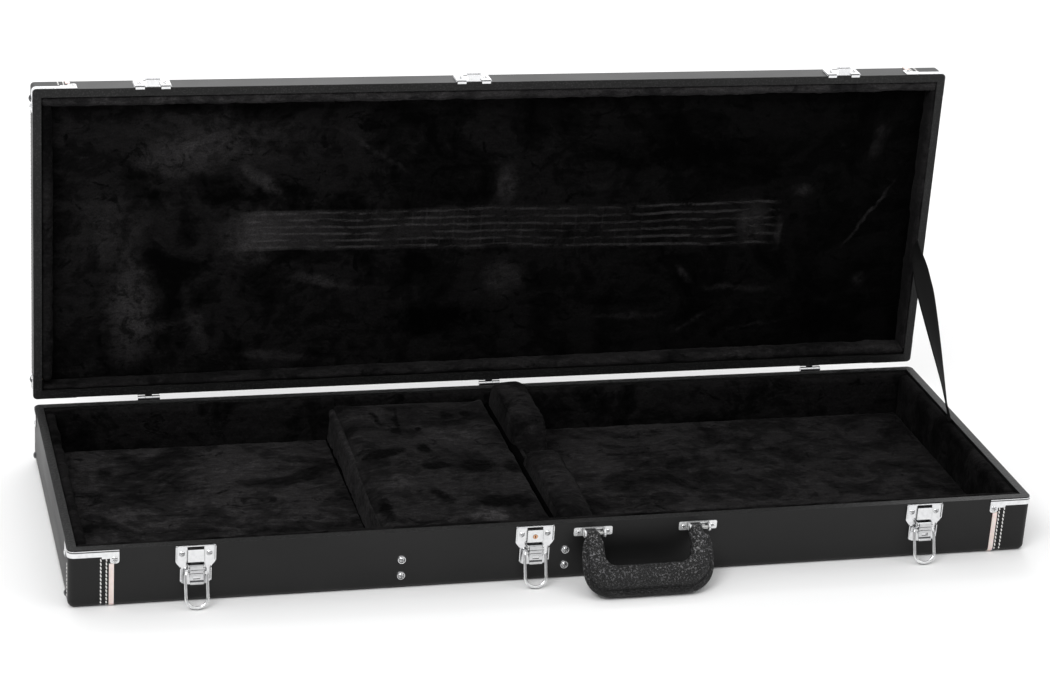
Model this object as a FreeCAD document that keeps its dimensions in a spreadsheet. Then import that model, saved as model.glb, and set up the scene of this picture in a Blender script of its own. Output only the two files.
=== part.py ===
import FreeCAD, Part
import math
import os
import Sketcher

# Rectangular hard-shell guitar case, shown open with the lid standing at a
# right angle.  Millimetres.  Origin: centre of the underside of the base,
# +X to the right along the length, +Y to the hinge side, +Z up.

doc = FreeCAD.newDocument("guitar_case")
sheet = doc.addObject("Spreadsheet::Sheet", "Sizes")

# alias, value, note
SIZES = [
    ("case_length", 1054, "outside length"),
    ("case_width", 364, "outside width, front to back"),
    ("base_height", 65.5, "height of the lower half"),
    ("lid_height", 30, "height of the lid"),
    ("seam_gap", 0.5, "gap between the two rims when closed"),
    ("skin", 0.8, "thickness of the vinyl covering"),
    ("board", 8, "thickness of the plywood side boards"),
    ("bottom_panel", 5, "thickness of the bottom plywood"),
    ("top_panel", 4, "thickness of the lid plywood"),
    ("edge_round", 6, "rounding of the outer edges of the base"),
    ("corner_round", 6.5, "rounding of the upright corners of the base"),
    ("lid_edge_round", 4, "rounding of the outer edges of the lid"),
    ("lid_corner_round", 4.2, "rounding of the corners of the lid"),
    ("lining", 12, "thickness of the padded side linings"),
    ("lining_drop", 3, "how far the linings stop below the rim"),
    ("play", 0.2, "gap left around soft parts"),
    ("strap_slit", 2, "slit behind the right linings for the stay strap"),
    ("floor_pad", 10, "thickness of the padding on the bottom"),
    ("lid_pad", 5, "thickness of the padding in the lid"),
    ("base_cap_left", 43.8, "left end of the base to the middle of its piping"),
    ("base_cap_right", 41.3, "right end of the base to the middle of its piping"),
    ("lid_cap_left", 39.2, "left end of the lid to the middle of its piping"),
    ("lid_cap_right", 41, "right end of the lid to the middle of its piping"),
    ("piping_width", 5, "width of the piping"),
    ("piping_proud", 1.2, "how far the piping stands out"),
    ("trim_thick", 0.9, "thickness of the corner trims"),
    ("trim_leg_left", 51.8, "long leg of the left corner trims of the base"),
    ("trim_leg", 48, "long leg of the other corner trims"),
    ("trim_side", 27, "short leg of a corner trim"),
    ("trim_top", 0.9, "how far the trims stop below the rim"),
    ("trim_band", 8.3, "rim to the lower edge of a corner trim band"),
    ("trim_step", 10.6, "rim to the lower edge of the step beside the tab"),
    ("trim_step_width", 8.5, "width of that step"),
    ("trim_tab", 16.2, "rim to the lower edge of the screw tab"),
    ("trim_tab_width", 9.4, "width of the screw tab of a trim"),
    ("trim_tab_round", 2.8, "rounding of the screw tab"),
    ("hinge_offset", 4.6, "hinge axis behind the back face"),
    ("hinge_spacing", 398, "outer hinges from the centre"),
    ("hinge_half", 12.5, "half width of a hinge"),
    ("hinge_leaf", 1.2, "thickness of a hinge leaf"),
    ("knuckle_radius", 3, "outside radius of a hinge knuckle"),
    ("knuckle_half", 4, "half length of the middle knuckle"),
    ("hinge_pin", 1.3, "radius of a hinge pin"),
    ("latch_left", -397.3, "position of the left latch"),
    ("latch_middle", -38.5, "position of the middle latch"),
    ("latch_right", 401.2, "position of the right latch"),
    ("latch_top", 64.8, "top of a latch plate"),
    ("latch_bottom", 20, "bottom of a latch plate"),
    ("latch_half", 20.8, "half width of a latch plate"),
    ("latch_foot", 16.2, "half width of its lower part"),
    ("plate_thick", 1.0, "thickness of latch and catch plates"),
    ("lever_height", 42, "height of the lever pivots"),
    ("lever_out", 6, "lever pivot in front of the face"),
    ("lever_pin", 1.5, "radius of a lever pin"),
    ("lever_half", 7, "half width of a lever"),
    ("bail_drop", 6, "bail pivot below the lever pivot"),
    ("bail_out", 0.5, "bail pivot in front of the lever pivot"),
    ("bail_wire", 1.65, "radius of the bail wire"),
    ("bail_half", 11.3, "half spacing of the bail legs"),
    ("bail_length", 36.3, "pivot to the middle of the bail end"),
    ("bail_tilt", 19.5, "lean of the resting bails in degrees"),
    ("handle_middle", 83.5, "middle between the handle brackets"),
    ("handle_shift", -4.2, "grip resting off the middle"),
    ("handle_spacing", 116.4, "distance between the handle eyes"),
    ("handle_height", 55, "height of the handle pivot"),
    ("handle_out", 7, "handle pivot in front of the face"),
    ("handle_pin", 2, "radius of a handle pin"),
    ("handle_drop", 70.8, "pivot to the outer edge of the grip"),
    ("handle_half", 73.5, "half width of the handle"),
    ("handle_fin", 6.5, "width of the moulding seam fin"),
    ("handle_fin_thick", 3.6, "thickness of the fin"),
    ("grip_thick", 21, "thickness of the grip"),
    ("grip_depth", 28, "depth of the grip bar"),
    ("grip_leg", 18.5, "width of a grip leg"),
    ("handle_tilt", 43.5, "lean of the resting handle in degrees"),
    ("wall_left", -182, "middle of the left compartment wall"),
    ("wall_right", -4, "middle of the right compartment wall"),
    ("wall_thick", 10, "thickness of both compartment walls"),
    ("wall_top", 49.5, "top of both compartment walls"),
    ("facing", 8, "padding on the left compartment wall"),
    ("door_board", 4, "board inside the compartment lid"),
    ("door_pad", 6.5, "padding of the compartment lid"),
    ("cradle_right", 36, "right face of the neck cradle"),
    ("cradle_top", 80, "top of the back half of the neck cradle"),
    ("cradle_front", 66, "top of the front half of the neck cradle"),
    ("stud_radius", 4.5, "radius of an end stud"),
    ("stud_height", 2.7, "height of an end stud"),
    ("foot_spacing", 450, "spine feet from the centre"),
    ("strap_width", 25, "width of the stay strap"),
    ("strap_thick", 1.6, "thickness of the stay strap"),
    ("strap_base", 25, "stay strap on the base, behind the middle"),
    ("strap_lid", 225, "stay strap height on the open lid"),
]
for number, (alias, value, note) in enumerate(SIZES, 1):
    sheet.set("A%d" % number, note)
    sheet.set("B%d" % number, str(value))
    sheet.setAlias("B%d" % number, alias)
doc.recompute()


class Size:
    """A number together with the formula over the sheet that gives it."""

    def __init__(self, value, text=None):
        self.value = float(value)
        self.fixed = text is None
        self.text = repr(self.value) if self.fixed else text

    def _join(self, sign, other, work):
        other = size(other)
        value = work(self.value, other.value)
        if self.fixed and other.fixed:
            return Size(value)
        return Size(value, "(%s %s %s)" % (self.text, sign, other.text))

    def __add__(self, other):
        return self._join("+", other, float.__add__)

    def __sub__(self, other):
        return self._join("-", other, float.__sub__)

    def __mul__(self, other):
        return self._join("*", other, float.__mul__)

    def __rmul__(self, other):
        return size(other) * self

    def __truediv__(self, other):
        return self._join("/", other, float.__truediv__)

    def __neg__(self):
        return Size(-1) * self


def size(value):
    return value if isinstance(value, Size) else Size(value)


class Dims:
    """Every size of the sheet, under its alias."""


dims = Dims()
for alias, value, note in SIZES:
    setattr(dims, alias, Size(value, "Sizes." + alias))

half_length = dims.case_length / 2
half_width = dims.case_width / 2
front = -half_width
back = half_width
inner_x = half_length - dims.skin - dims.board
inner_y = half_width - dims.skin - dims.board
hinge_y = half_width + dims.hinge_offset
hinge_z = dims.base_height + dims.seam_gap / 2
sub_parts = {}
counter = [0]


# --------------------------------------------------------------- helpers
def fresh(word):
    counter[0] += 1
    return "%s_%03d" % (word, counter[0])


def bind(obj, prop, value):
    """Set a property, by its formula when it has one."""
    value = size(value)
    if value.fixed:
        setattr(obj, prop, value.value)
    else:
        obj.setExpression(prop, value.text)


def place(obj, at, axis=None, degrees=0.0):
    """Put an object at three sizes, turned about an axis."""
    rotation = FreeCAD.Rotation()
    if axis is not None:
        rotation = FreeCAD.Rotation(FreeCAD.Vector(*axis), degrees)
    values = [size(v) for v in at]
    obj.Placement = FreeCAD.Placement(FreeCAD.Vector(*[v.value for v in values]), rotation)
    for letter, v in zip("xyz", values):
        if not v.fixed:
            obj.setExpression("Placement.Base." + letter, v.text)
    return obj


def box(x0, x1, y0, y1, z0, z1):
    obj = doc.addObject("Part::Box", fresh("block"))
    for prop, low, high in (("Length", x0, x1), ("Width", y0, y1), ("Height", z0, z1)):
        bind(obj, prop, size(high) - low)
    return place(obj, (x0, y0, z0))


# turns that bring +Z to the named direction
AXES = {
    "z": (None, 0.0),
    "-z": ((1, 0, 0), 180.0),
    "x": ((0, 1, 0), 90.0),
    "-x": ((0, 1, 0), -90.0),
    "y": ((1, 0, 0), -90.0),
    "-y": ((1, 0, 0), 90.0),
}


def cylinder(axis, at, radius, length):
    obj = doc.addObject("Part::Cylinder", fresh("rod"))
    bind(obj, "Radius", radius)
    bind(obj, "Height", length)
    return place(obj, at, *AXES[axis])


def cone(axis, at, low_radius, high_radius, length):
    obj = doc.addObject("Part::Cone", fresh("cone"))
    bind(obj, "Radius1", low_radius)
    bind(obj, "Radius2", high_radius)
    bind(obj, "Height", length)
    return place(obj, at, *AXES[axis])


def torus(radius, wire, degrees):
    obj = doc.addObject("Part::Torus", fresh("bend"))
    bind(obj, "Radius1", radius)
    bind(obj, "Radius2", wire)
    obj.Angle3 = degrees
    return obj


def dome(radius, height):
    """A spherical cap standing on z = 0."""
    ball = (radius * radius + height * height) / (2 * height)
    obj = doc.addObject("Part::Sphere", fresh("dome"))
    obj.Radius = ball
    obj.Angle1 = math.degrees(math.asin((ball - height) / ball))
    obj.Angle2 = 90
    obj.Placement.Base.z = height - ball
    return obj


def fuse(*shapes):
    if len(shapes) == 1:
        return shapes[0]
    obj = doc.addObject("Part::MultiFuse", fresh("union"))
    obj.Shapes = list(shapes)
    obj.Refine = True
    return obj


def cut(base, *tools):
    obj = doc.addObject("Part::Cut", fresh("cut"))
    obj.Base = base
    obj.Tool = fuse(*tools)
    return obj


def common(base, tool):
    obj = doc.addObject("Part::Common", fresh("common"))
    obj.Base = base
    obj.Tool = tool
    return obj


def group(*shapes):
    obj = doc.addObject("Part::Compound", fresh("group"))
    obj.Links = list(shapes)
    return obj


def stand(master, at, axis="z"):
    """One copy of a master, its +Z pointing along the axis."""
    return place(group(master), at, *AXES[axis])


def span(sign, near, far):
    """The range from near to far on one side of zero, lower end first."""
    return (sign * far, sign * near) if sign < 0 else (sign * near, sign * far)


def keep(node, obj):
    """Name a finished sub-part."""
    obj.Label = node
    sub_parts[node] = obj
    return obj


def sketch(body, role, offset=0):
    """A sketch on an origin plane; normals are +Z (XY), -Y (XZ) and +X (YZ)."""
    plane = [f for f in body.Origin.OriginFeatures if f.Role == role][0]
    profile = body.newObject("Sketcher::SketchObject", fresh("sketch"))
    profile.AttachmentSupport = [(plane, "")]
    profile.MapMode = "FlatFace"
    offset = size(offset)
    profile.AttachmentOffset = FreeCAD.Placement(
        FreeCAD.Vector(0, 0, offset.value), FreeCAD.Rotation()
    )
    if not offset.fixed:
        profile.setExpression("AttachmentOffset.Base.z", offset.text)
    return profile


def hold(profile, kind, line, value):
    """Fix the start of a line from the origin, with its formula when it has one."""
    at = profile.addConstraint(Sketcher.Constraint(kind, -1, 1, line, 1, value.value))
    if not value.fixed:
        profile.setExpression("Constraints[%d]" % at, value.text)


def outline(profile, points):
    """A closed outline through the points, each fixed from the origin."""
    corners = [(size(u), size(v)) for u, v in points]
    count = len(corners)
    vectors = [FreeCAD.Vector(u.value, v.value, 0) for u, v in corners]
    for i in range(count):
        profile.addGeometry(Part.LineSegment(vectors[i], vectors[(i + 1) % count]), False)
    for i in range(count):
        profile.addConstraint(Sketcher.Constraint("Coincident", i, 2, (i + 1) % count, 1))
    for i, (u, v) in enumerate(corners):
        hold(profile, "DistanceX", i, u)
        hold(profile, "DistanceY", i, v)


def new_body(name):
    return doc.addObject("PartDesign::Body", name)


def pad(body, role, offset, points, length):
    """Pad an outline along the normal of its plane."""
    before = body.Shape.Volume if body.Tip else 0.0
    profile = sketch(body, role, offset)
    outline(profile, points)
    obj = body.newObject("PartDesign::Pad", fresh("pad"))
    obj.Profile = profile
    bind(obj, "Length", length)
    doc.recompute()
    if body.Shape.Volume <= before:
        raise RuntimeError("a pad added nothing to " + body.Name)
    return obj


def pocket(body, role, offset, points, length):
    """Pocket an outline along the normal of its plane."""
    before = body.Shape.Volume
    profile = sketch(body, role, offset)
    outline(profile, points)
    obj = body.newObject("PartDesign::Pocket", fresh("pocket"))
    obj.Profile = profile
    bind(obj, "Length", length)
    obj.Reversed = True
    doc.recompute()
    if body.Shape.Volume >= before - 1e-6:
        raise RuntimeError("a pocket cut nothing from " + body.Name)


def round_edges(body, base, test, radius):
    """Fillet the edges whose bounding box passes the test."""
    names = ["Edge%d" % i for i, edge in enumerate(base.Shape.Edges, 1) if test(edge.BoundBox)]
    if not names:
        raise RuntimeError("no edges to round on " + body.Name)
    obj = body.newObject("PartDesign::Fillet", fresh("round"))
    obj.Base = (base, names)
    bind(obj, "Radius", radius)
    doc.recompute()
    if obj.Shape.isNull() or not obj.Shape.isValid():
        raise RuntimeError("rounding failed on " + body.Name)
    return obj


def tub(name, length, width, low, high, corner, edge=None):
    """A block with rounded upright corners and, if asked, a rounded lower edge."""
    body = new_body(name)
    x, y = length / 2, width / 2
    points = [(-x, -y), (x, -y), (x, y), (-x, y)]
    solid = pad(body, "XY_Plane", low, points, size(high) - low)
    upright = round_edges(
        body, solid, lambda b: b.ZLength > 5 and b.XLength < 0.01 and b.YLength < 0.01, corner
    )
    if edge is not None:
        level = size(low).value
        round_edges(
            body,
            upright,
            lambda b: abs(b.ZMax - level) < 0.01 and abs(b.ZMin - level) < 0.01,
            edge,
        )
    return body


# ---------------------------------------------------------------- shells
def trims(height, left_leg, right_leg, corner):
    """Four corner trims at the rim of one half, each with a screw tab on
    either leg and a small step beside the tab of the long leg."""
    thick = dims.trim_thick
    outside = tub(
        fresh("trim_outer"), dims.case_length + 2 * thick, dims.case_width + 2 * thick,
        height - 20, height - dims.trim_top, corner + thick,
    )
    inside = tub(
        fresh("trim_inner"), dims.case_length, dims.case_width, height - 21, height + 1, corner
    )
    skin_ring = cut(outside, inside)
    band = height - dims.trim_band
    tab = height - dims.trim_tab
    step = height - dims.trim_step
    over = height + 1
    wide, bend = dims.trim_tab_width, dims.trim_tab_round
    # the masks reach this far inside and outside the faces of the case
    mask_in, mask_out = 4, 3

    def screw_tab(along, across, axis):
        """A round-cornered tab mask; its screw direction is the axis."""

        def tab_box(low, high, z0, z1):
            if axis == "y":
                return box(low, high, *across, z0, z1)
            return box(*across, low, high, z0, z1)

        low, high = along
        masks = [
            tab_box(low, high, tab + bend, over),
            tab_box(low + bend, high - bend, tab, tab + bend + 0.5),
        ]
        for middle in (low + bend, high - bend):
            x, y = (middle, across[0]) if axis == "y" else (across[0], middle)
            masks.append(cylinder(axis, (x, y, tab + bend), bend, mask_in + mask_out))
        return masks

    masks = []
    for sx in (-1, 1):
        x_start = half_length - (left_leg if sx < 0 else right_leg)
        y_start = half_width - dims.trim_side
        end_xs = span(sx, half_length - mask_in, half_length + mask_out)
        for sy in (-1, 1):
            side_ys = span(sy, half_width - mask_in, half_width + mask_out)
            long_xs = span(sx, x_start, half_length + mask_out)
            short_ys = span(sy, y_start, half_width + mask_out)
            masks.append(box(*long_xs, *side_ys, band, over))
            masks.append(box(*end_xs, *short_ys, band, over))
            masks += screw_tab(span(sx, x_start, x_start + wide), side_ys, "y")
            step_xs = span(sx, x_start, x_start + wide + dims.trim_step_width)
            masks.append(box(*step_xs, *side_ys, step, over))
            masks += screw_tab(span(sy, y_start, y_start + wide), end_xs, "x")
    return common(skin_ring, fuse(*masks))


def shell(prefix, height, panel, left_cap, right_cap, corner, edge_round):
    """Covering, end caps, piping and boards of one half, lying open side up
    with its outer face on z = 0 and its rim at the given height.  The piping
    ends just below the corner trim tabs."""
    skin, length, width = dims.skin, dims.case_length, dims.case_width
    outer = tub(prefix + "_outer", length, width, 0, height, corner, edge_round)
    wide = tub(
        prefix + "_piping_outer", length, width + 2 * dims.piping_proud, 0, height,
        corner, edge_round,
    )
    inner = tub(
        prefix + "_inner", length - 2 * skin, width - 2 * skin, skin, height - skin,
        corner - skin, edge_round - skin,
    )
    mouth = box(-inner_x, inner_x, -inner_y, inner_y, height - 2 * skin, height + 2)
    hollow = fuse(inner, mouth)
    skin_shell = cut(outer, hollow)
    left_seam, right_seam = left_cap - half_length, half_length - right_cap
    edge = dims.piping_width / 2
    over = 5
    below, above = -over, height + over
    stop = height - dims.trim_tab - 0.1

    def slab(x0, x1, z0, z1):
        """A mask across the whole width."""
        return box(x0, x1, -half_width - over, half_width + over, z0, z1)

    covering = common(
        skin_shell,
        fuse(
            slab(left_seam + edge, right_seam - edge, below, above),
            slab(left_seam - edge, left_seam + edge, stop, above),
            slab(right_seam - edge, right_seam + edge, stop, above),
        ),
    )
    caps = common(
        skin_shell,
        fuse(
            slab(-half_length - over, left_seam - edge, below, above),
            slab(right_seam + edge, half_length + over, below, above),
        ),
    )
    piping = common(
        cut(wide, hollow),
        fuse(
            slab(left_seam - edge, left_seam + edge, below, stop),
            slab(right_seam - edge, right_seam + edge, below, stop),
        ),
    )
    x, y = half_length - skin, half_width - skin
    low_y_board = common(inner, box(-x, x, -y, -inner_y, 0, height))
    high_y_board = common(inner, box(-x, x, inner_y, y, 0, height))
    end_boards = common(
        inner,
        fuse(
            box(-x, -inner_x, -inner_y, inner_y, 0, height),
            box(inner_x, x, -inner_y, inner_y, 0, height),
        ),
    )
    flat_panel = box(-inner_x, inner_x, -inner_y, inner_y, skin, skin + panel)
    return covering, caps, piping, low_y_board, high_y_board, end_boards, flat_panel


# ------------------------------------------------------------- fasteners
def screw_master(head_radius, head_height, shank_radius, shank_length, slot=0.9):
    """A cross-recess screw along z, the underside of its head on z = 0."""
    solid = fuse(
        dome(head_radius, head_height),
        cylinder("-z", (0, 0, 0.2), shank_radius, shank_length + 0.2),
    )
    reach = head_radius * 0.62
    z0, z1 = head_height * 0.45, head_height + 1
    return cut(
        solid,
        box(-reach, reach, -slot / 2, slot / 2, z0, z1),
        box(-slot / 2, slot / 2, -reach, reach, z0, z1),
    )


plate_screw = screw_master(head_radius=3.0, head_height=1.5, shank_radius=1.4, shank_length=7.5)
small_screw = screw_master(
    head_radius=2.2, head_height=1.1, shank_radius=1.0, shank_length=6.5, slot=0.7
)
wall_screw = screw_master(head_radius=3.3, head_height=1.9, shank_radius=1.7, shank_length=26)
trim_screw = screw_master(head_radius=3.3, head_height=1.4, shank_radius=1.2, shank_length=6.5)


def trim_screws(height, left_leg, right_leg):
    """One screw in each tab of the corner trims."""
    out = []
    z = height - dims.trim_tab + 4.2
    half_tab = dims.trim_tab_width / 2
    for sx in (-1, 1):
        leg = left_leg if sx < 0 else right_leg
        for sy in (-1, 1):
            x = sx * (half_length - leg + half_tab)
            y = sy * (half_width + dims.trim_thick)
            out.append(stand(trim_screw, (x, y, z), "y" if sy > 0 else "-y"))
            x = sx * (half_length + dims.trim_thick)
            y = sy * (half_width - dims.trim_side + half_tab)
            out.append(stand(trim_screw, (x, y, z), "x" if sx > 0 else "-x"))
    return group(*out)


def end_studs():
    """Four domed studs on the end faces of one half, near the corners."""
    stud_inset, stud_z = 16, 10.5
    master = fuse(
        dome(dims.stud_radius.value, dims.stud_height.value),
        cylinder("-z", (0, 0, 0.2), 1.4, 6.2),
    )
    out = []
    for sx in (-1, 1):
        for sy in (-1, 1):
            at = (sx * half_length, sy * (half_width - stud_inset), stud_z)
            out.append(stand(master, at, "x" if sx > 0 else "-x"))
    return group(*out)


def spine_feet(y, outward, inward, z):
    """Two tapered feet with shanks, on the hinge side of one half."""
    out = []
    for sx in (-1, 1):
        at = (sx * dims.foot_spacing, y, z)
        out.append(fuse(cone(outward, at, 6, 5.2, 4.6), cylinder(inward, at, 1.3, 6)))
    return group(*out)


# ------------------------------------------------------------ lower half
base_trims = trims(dims.base_height, dims.trim_leg_left, dims.trim_leg, dims.corner_round)
base_pieces = shell(
    "base", dims.base_height, dims.bottom_panel, dims.base_cap_left, dims.base_cap_right,
    dims.corner_round, dims.edge_round,
)
base_nodes = (
    "base_covering", "base_end_caps", "base_piping", "base_front_board", "base_back_board",
    "base_end_boards", "base_bottom_panel",
)
for node, piece in zip(base_nodes, base_pieces):
    keep(node, piece)

play = dims.play
floor_z = dims.skin + dims.bottom_panel
pad_z = floor_z + dims.floor_pad
lining_top = dims.base_height - dims.lining_drop
wall_half = dims.wall_thick / 2
left_wall = (dims.wall_left - wall_half, dims.wall_left + wall_half)
right_wall = (dims.wall_right - wall_half, dims.wall_right + wall_half)
side_y = inner_y - dims.lining
soft_y = side_y - play
left_in = -inner_x + dims.lining
right_out = inner_x - dims.strap_slit
right_in = right_out - dims.lining


def between_linings(x0, x1, z0, z1):
    """A block filling the width between the side linings."""
    return box(x0, x1, -soft_y, soft_y, z0, z1)


# padded linings, cut into lengths between the compartment walls
segments = [
    (-inner_x, left_wall[0] - play / 2),
    (left_wall[1] + play / 2, right_wall[0] - play / 2),
    (right_wall[1] + play / 2, inner_x),
]
keep(
    "base_lining_sides",
    group(
        *[box(x0, x1, -inner_y, -side_y, floor_z, lining_top) for x0, x1 in segments],
        *[box(x0, x1, side_y, inner_y, floor_z, lining_top) for x0, x1 in segments],
    ),
)
keep(
    "base_lining_ends",
    group(
        between_linings(-inner_x, left_in, floor_z, lining_top),
        between_linings(right_in, right_out, floor_z, lining_top),
    ),
)

# compartment and neck walls stand on the bottom panel, board to board
keep("compartment_wall", box(*left_wall, -inner_y, inner_y, floor_z, dims.wall_top))
keep("neck_wall", box(*right_wall, -inner_y, inner_y, floor_z, dims.wall_top))

shelf_z = dims.wall_top + play
door_pad_z = shelf_z + dims.door_board
door_top = door_pad_z + dims.door_pad
facing_x = left_wall[0] - dims.facing
keep(
    "compartment_wall_pad",
    between_linings(facing_x, left_wall[0] - play / 2, floor_z, door_top - 0.4),
)

# floor padding of the three bays
for node, x0, x1 in (
    ("headstock_bay_pad", left_in + play, facing_x - play),
    ("compartment_floor_pad", left_wall[1] + play, right_wall[0] - play),
    ("body_bay_pad", dims.cradle_right + play, right_in - play),
):
    keep(node, between_linings(x0, x1, floor_z, pad_z))


def neck_cradle():
    """A notched block whose upper part laps over the neck wall."""
    body = new_body("cradle")
    high, low = dims.cradle_top, dims.cradle_front
    # y, z along the top, from the back edge to the front edge
    back_crest = [(soft_y, high - 3), (soft_y - 12, high), (64, high - 3), (55, low)]
    notch = [(46, 46), (38, 34), (14, 34), (6, 46)]
    front_crest = [(2, low - 3), (-6, low), (-70, low), (-soft_y + 10, low - 5), (-soft_y, low - 9)]
    near = right_wall[1] + play / 2
    lap = right_wall[0] + 3.5
    foot = [(-soft_y, floor_z), (soft_y, floor_z)]
    pad(body, "YZ_Plane", near, foot + back_crest + notch + front_crest, dims.cradle_right - near)
    for ledge, crest in (
        ([(-soft_y, shelf_z), (4.7, shelf_z)], front_crest),
        ([(48, shelf_z), (soft_y, shelf_z)], back_crest),
    ):
        pad(body, "YZ_Plane", lap, ledge + crest, near - lap)
    return body


keep("neck_cradle", neck_cradle())

# accessory compartment lid: a board under a pad
door_xs = (left_wall[0] + 0.4, right_wall[0] + 1.4)
door_y = side_y - 1.6
keep("compartment_lid_board", box(*door_xs, -door_y, door_y, shelf_z, door_pad_z))
keep("compartment_lid_pad", box(*door_xs, -door_y, door_y, door_pad_z, door_top))

keep("base_corner_trims", base_trims)
keep("base_corner_screws", trim_screws(dims.base_height, dims.trim_leg_left, dims.trim_leg))
keep("base_end_studs", end_studs())
keep("base_spine_feet", spine_feet(back, "y", "-y", 28))

# screws and cup washers that hold the walls through the front and back
washer_seat = 0.9
washer = cut(
    cone("z", (0, 0, 0), 5, 4.1, 1.8),
    cylinder("z", (0, 0, -1), 1.75, 5),
    cylinder("z", (0, 0, washer_seat), 3.35, 2),
)
# x, z of each screw
wall_holes = [
    (dims.wall_left + 1, 34.0), (dims.wall_left + 1, 15.5),
    (dims.wall_right, 34.8), (dims.wall_right, 17.0),
]
washers, screws = [], []
for x, z in wall_holes:
    for sign, face, axis in ((-1, front, "-y"), (1, back, "y")):
        washers.append(stand(washer, (x, face, z), axis))
        screws.append(stand(wall_screw, (x, face + sign * washer_seat, z), axis))
keep("divider_washers", group(*washers))
keep("divider_screws", group(*screws))


# --------------------------------------------------------------- latches
latch_x = {"left": dims.latch_left, "middle": dims.latch_middle, "right": dims.latch_right}
latch_screw_xs = (-14, 14)
latch_screw_z = 55.5
barrel_z = 53.4
lever_y = front - dims.lever_out


def latch_plate(name, keyed):
    """Pressed plate with a raised bridge, side flanges and two pivot ears.
    Drawn about x = 0 with its back on y = 0; a keyed plate has a barrel hole."""
    thick, top, low = dims.plate_thick, dims.latch_top, dims.latch_bottom
    wide, foot = dims.latch_half, dims.latch_foot
    pivot_y, pivot_z = -dims.lever_out, dims.lever_height
    body = new_body(name + "_sheet")
    # x, z down the right side
    right = [
        (wide, top), (wide, top - 17.5), (wide - 1.2, top - 20), (foot + 0.6, top - 23.5),
        (foot, top - 26), (foot, low + 5.5), (foot - 2, low + 2.4), (foot - 5.5, low + 0.7),
    ]
    left = [(-x, z) for x, z in reversed(right[1:])]
    solid = pad(body, "XZ_Plane", 0, [(-wide, top)] + right + [(0, low)] + left, thick)
    level = top.value
    round_edges(
        body,
        solid,
        lambda b: abs(b.ZMin - level) < 0.01 and abs(b.ZMax - level) < 0.01 and b.XLength < 0.01,
        0.9,
    )
    rooted = -thick + 0.05
    flange, ear_thick = 0.9, 1.2
    ear = dims.lever_half + 0.35
    extra = []
    for sign in (-1, 1):
        extra.append(box(*span(sign, wide - flange, wide), -2.2, rooted, top - 17.5, top - 1))
        extra.append(box(*span(sign, foot - flange, foot), -3.4, rooted, low + 5.5, top - 25))
        ear_xs = span(sign, ear, ear + ear_thick)
        extra.append(box(*ear_xs, pivot_y, rooted, pivot_z - 3, pivot_z + 3))
        extra.append(cylinder("x", (ear_xs[0], pivot_y, pivot_z), 3, ear_thick))
    # ridge along the top edge, then the bridge
    extra.append(box(-wide + 2, wide - 2, -1.7, rooted, top - 1.1, top - 0.1))
    extra.append(box(-8.3, 8.3, -3.4, rooted, 46.6, 60.9))
    holes = [
        box(-7.3, 7.3, -2.5, 1, 47.6, 59.9),
        box(-8.6, 8.6, -2.0, 1, 61.1, 63.2),
        cylinder("x", (-10, pivot_y, pivot_z), dims.lever_pin, 20),
    ]
    holes += [cylinder("-y", (x, 1, latch_screw_z), 1.6, 4) for x in latch_screw_xs]
    if keyed:
        holes.append(cylinder("-y", (0, 0, barrel_z), 2.56, 6))
    return cut(fuse(body, *extra), *holes)


plain_plate = latch_plate("latch_plain", False)
keyed_plate = latch_plate("latch_keyed", True)
outer_latches = [stand(plain_plate, (latch_x[k], front, 0)) for k in ("left", "right")]
keep("latch_plates_outer", group(*outer_latches))
keep("latch_plate_middle", stand(keyed_plate, (latch_x["middle"], front, 0)))
keep(
    "latch_screws",
    group(
        *[
            stand(plate_screw, (x + dx, front - dims.plate_thick, latch_screw_z), "-y")
            for x in latch_x.values()
            for dx in latch_screw_xs
        ]
    ),
)
pin_half = dims.lever_half + 2.0
keep(
    "latch_pins",
    group(
        *[
            cylinder(
                "x", (x - pin_half, lever_y, dims.lever_height), dims.lever_pin, 2 * pin_half
            )
            for x in latch_x.values()
        ]
    ),
)

# key barrel of the middle latch, with a collar and a key slot
barrel = cut(
    fuse(cylinder("-y", (0, -1.3, 0), 2.5, 2.5), cylinder("-y", (0, -1.3, 0), 3.1, 1.0)),
    box(-0.45, 0.45, -4.2, -2.6, -1.6, 1.6),
)
keep("lock_barrel", stand(barrel, (latch_x["middle"], front, barrel_z)))

# y, z of the lever's side profile about its pivot; outward is -y
LEVER_PROFILE = [
    (-3.9, 1.4), (-2.2, 2.3), (0, 2.8), (2.0, 2.0), (2.8, 0), (2.4, -3.0), (1.8, -9.0),
    (0.6, -10.2), (-1.6, -11.0), (-2.6, -13.4), (-3.8, -15.4), (-6.0, -16.8), (-6.7, -15.9),
    (-5.2, -14.4), (-4.4, -12.6), (-3.9, -9),
]


def lever():
    """Finger lever about its pivot, with two ribs on its outer face."""
    body = new_body(fresh("lever"))
    half, cheek, clearance = dims.lever_half, 1.3, 0.05
    pad(body, "YZ_Plane", -half, LEVER_PROFILE, 2 * half)
    # open back between the two cheeks
    opening = [(-2.7, -2.9), (3.5, -2.9), (3.5, -12), (-2.7, -12)]
    pocket(body, "YZ_Plane", -half + cheek, opening, 2 * half - 2 * cheek)
    bail_pivot = (-10, -dims.bail_out, -dims.bail_drop)
    tools = [
        cylinder("x", (-10, 0, 0), dims.lever_pin + clearance, 20),
        cylinder("x", bail_pivot, dims.bail_wire + clearance, 20),
        box(-3.6, 3.6, -5, -2, -11.3, -8.2),
    ]
    ribs = [box(-half + 0.6, half - 0.6, -4.5, -3.8, z, z + 1.1) for z in (-2.4, -6.2)]
    return cut(fuse(body, *ribs), *tools)


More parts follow.
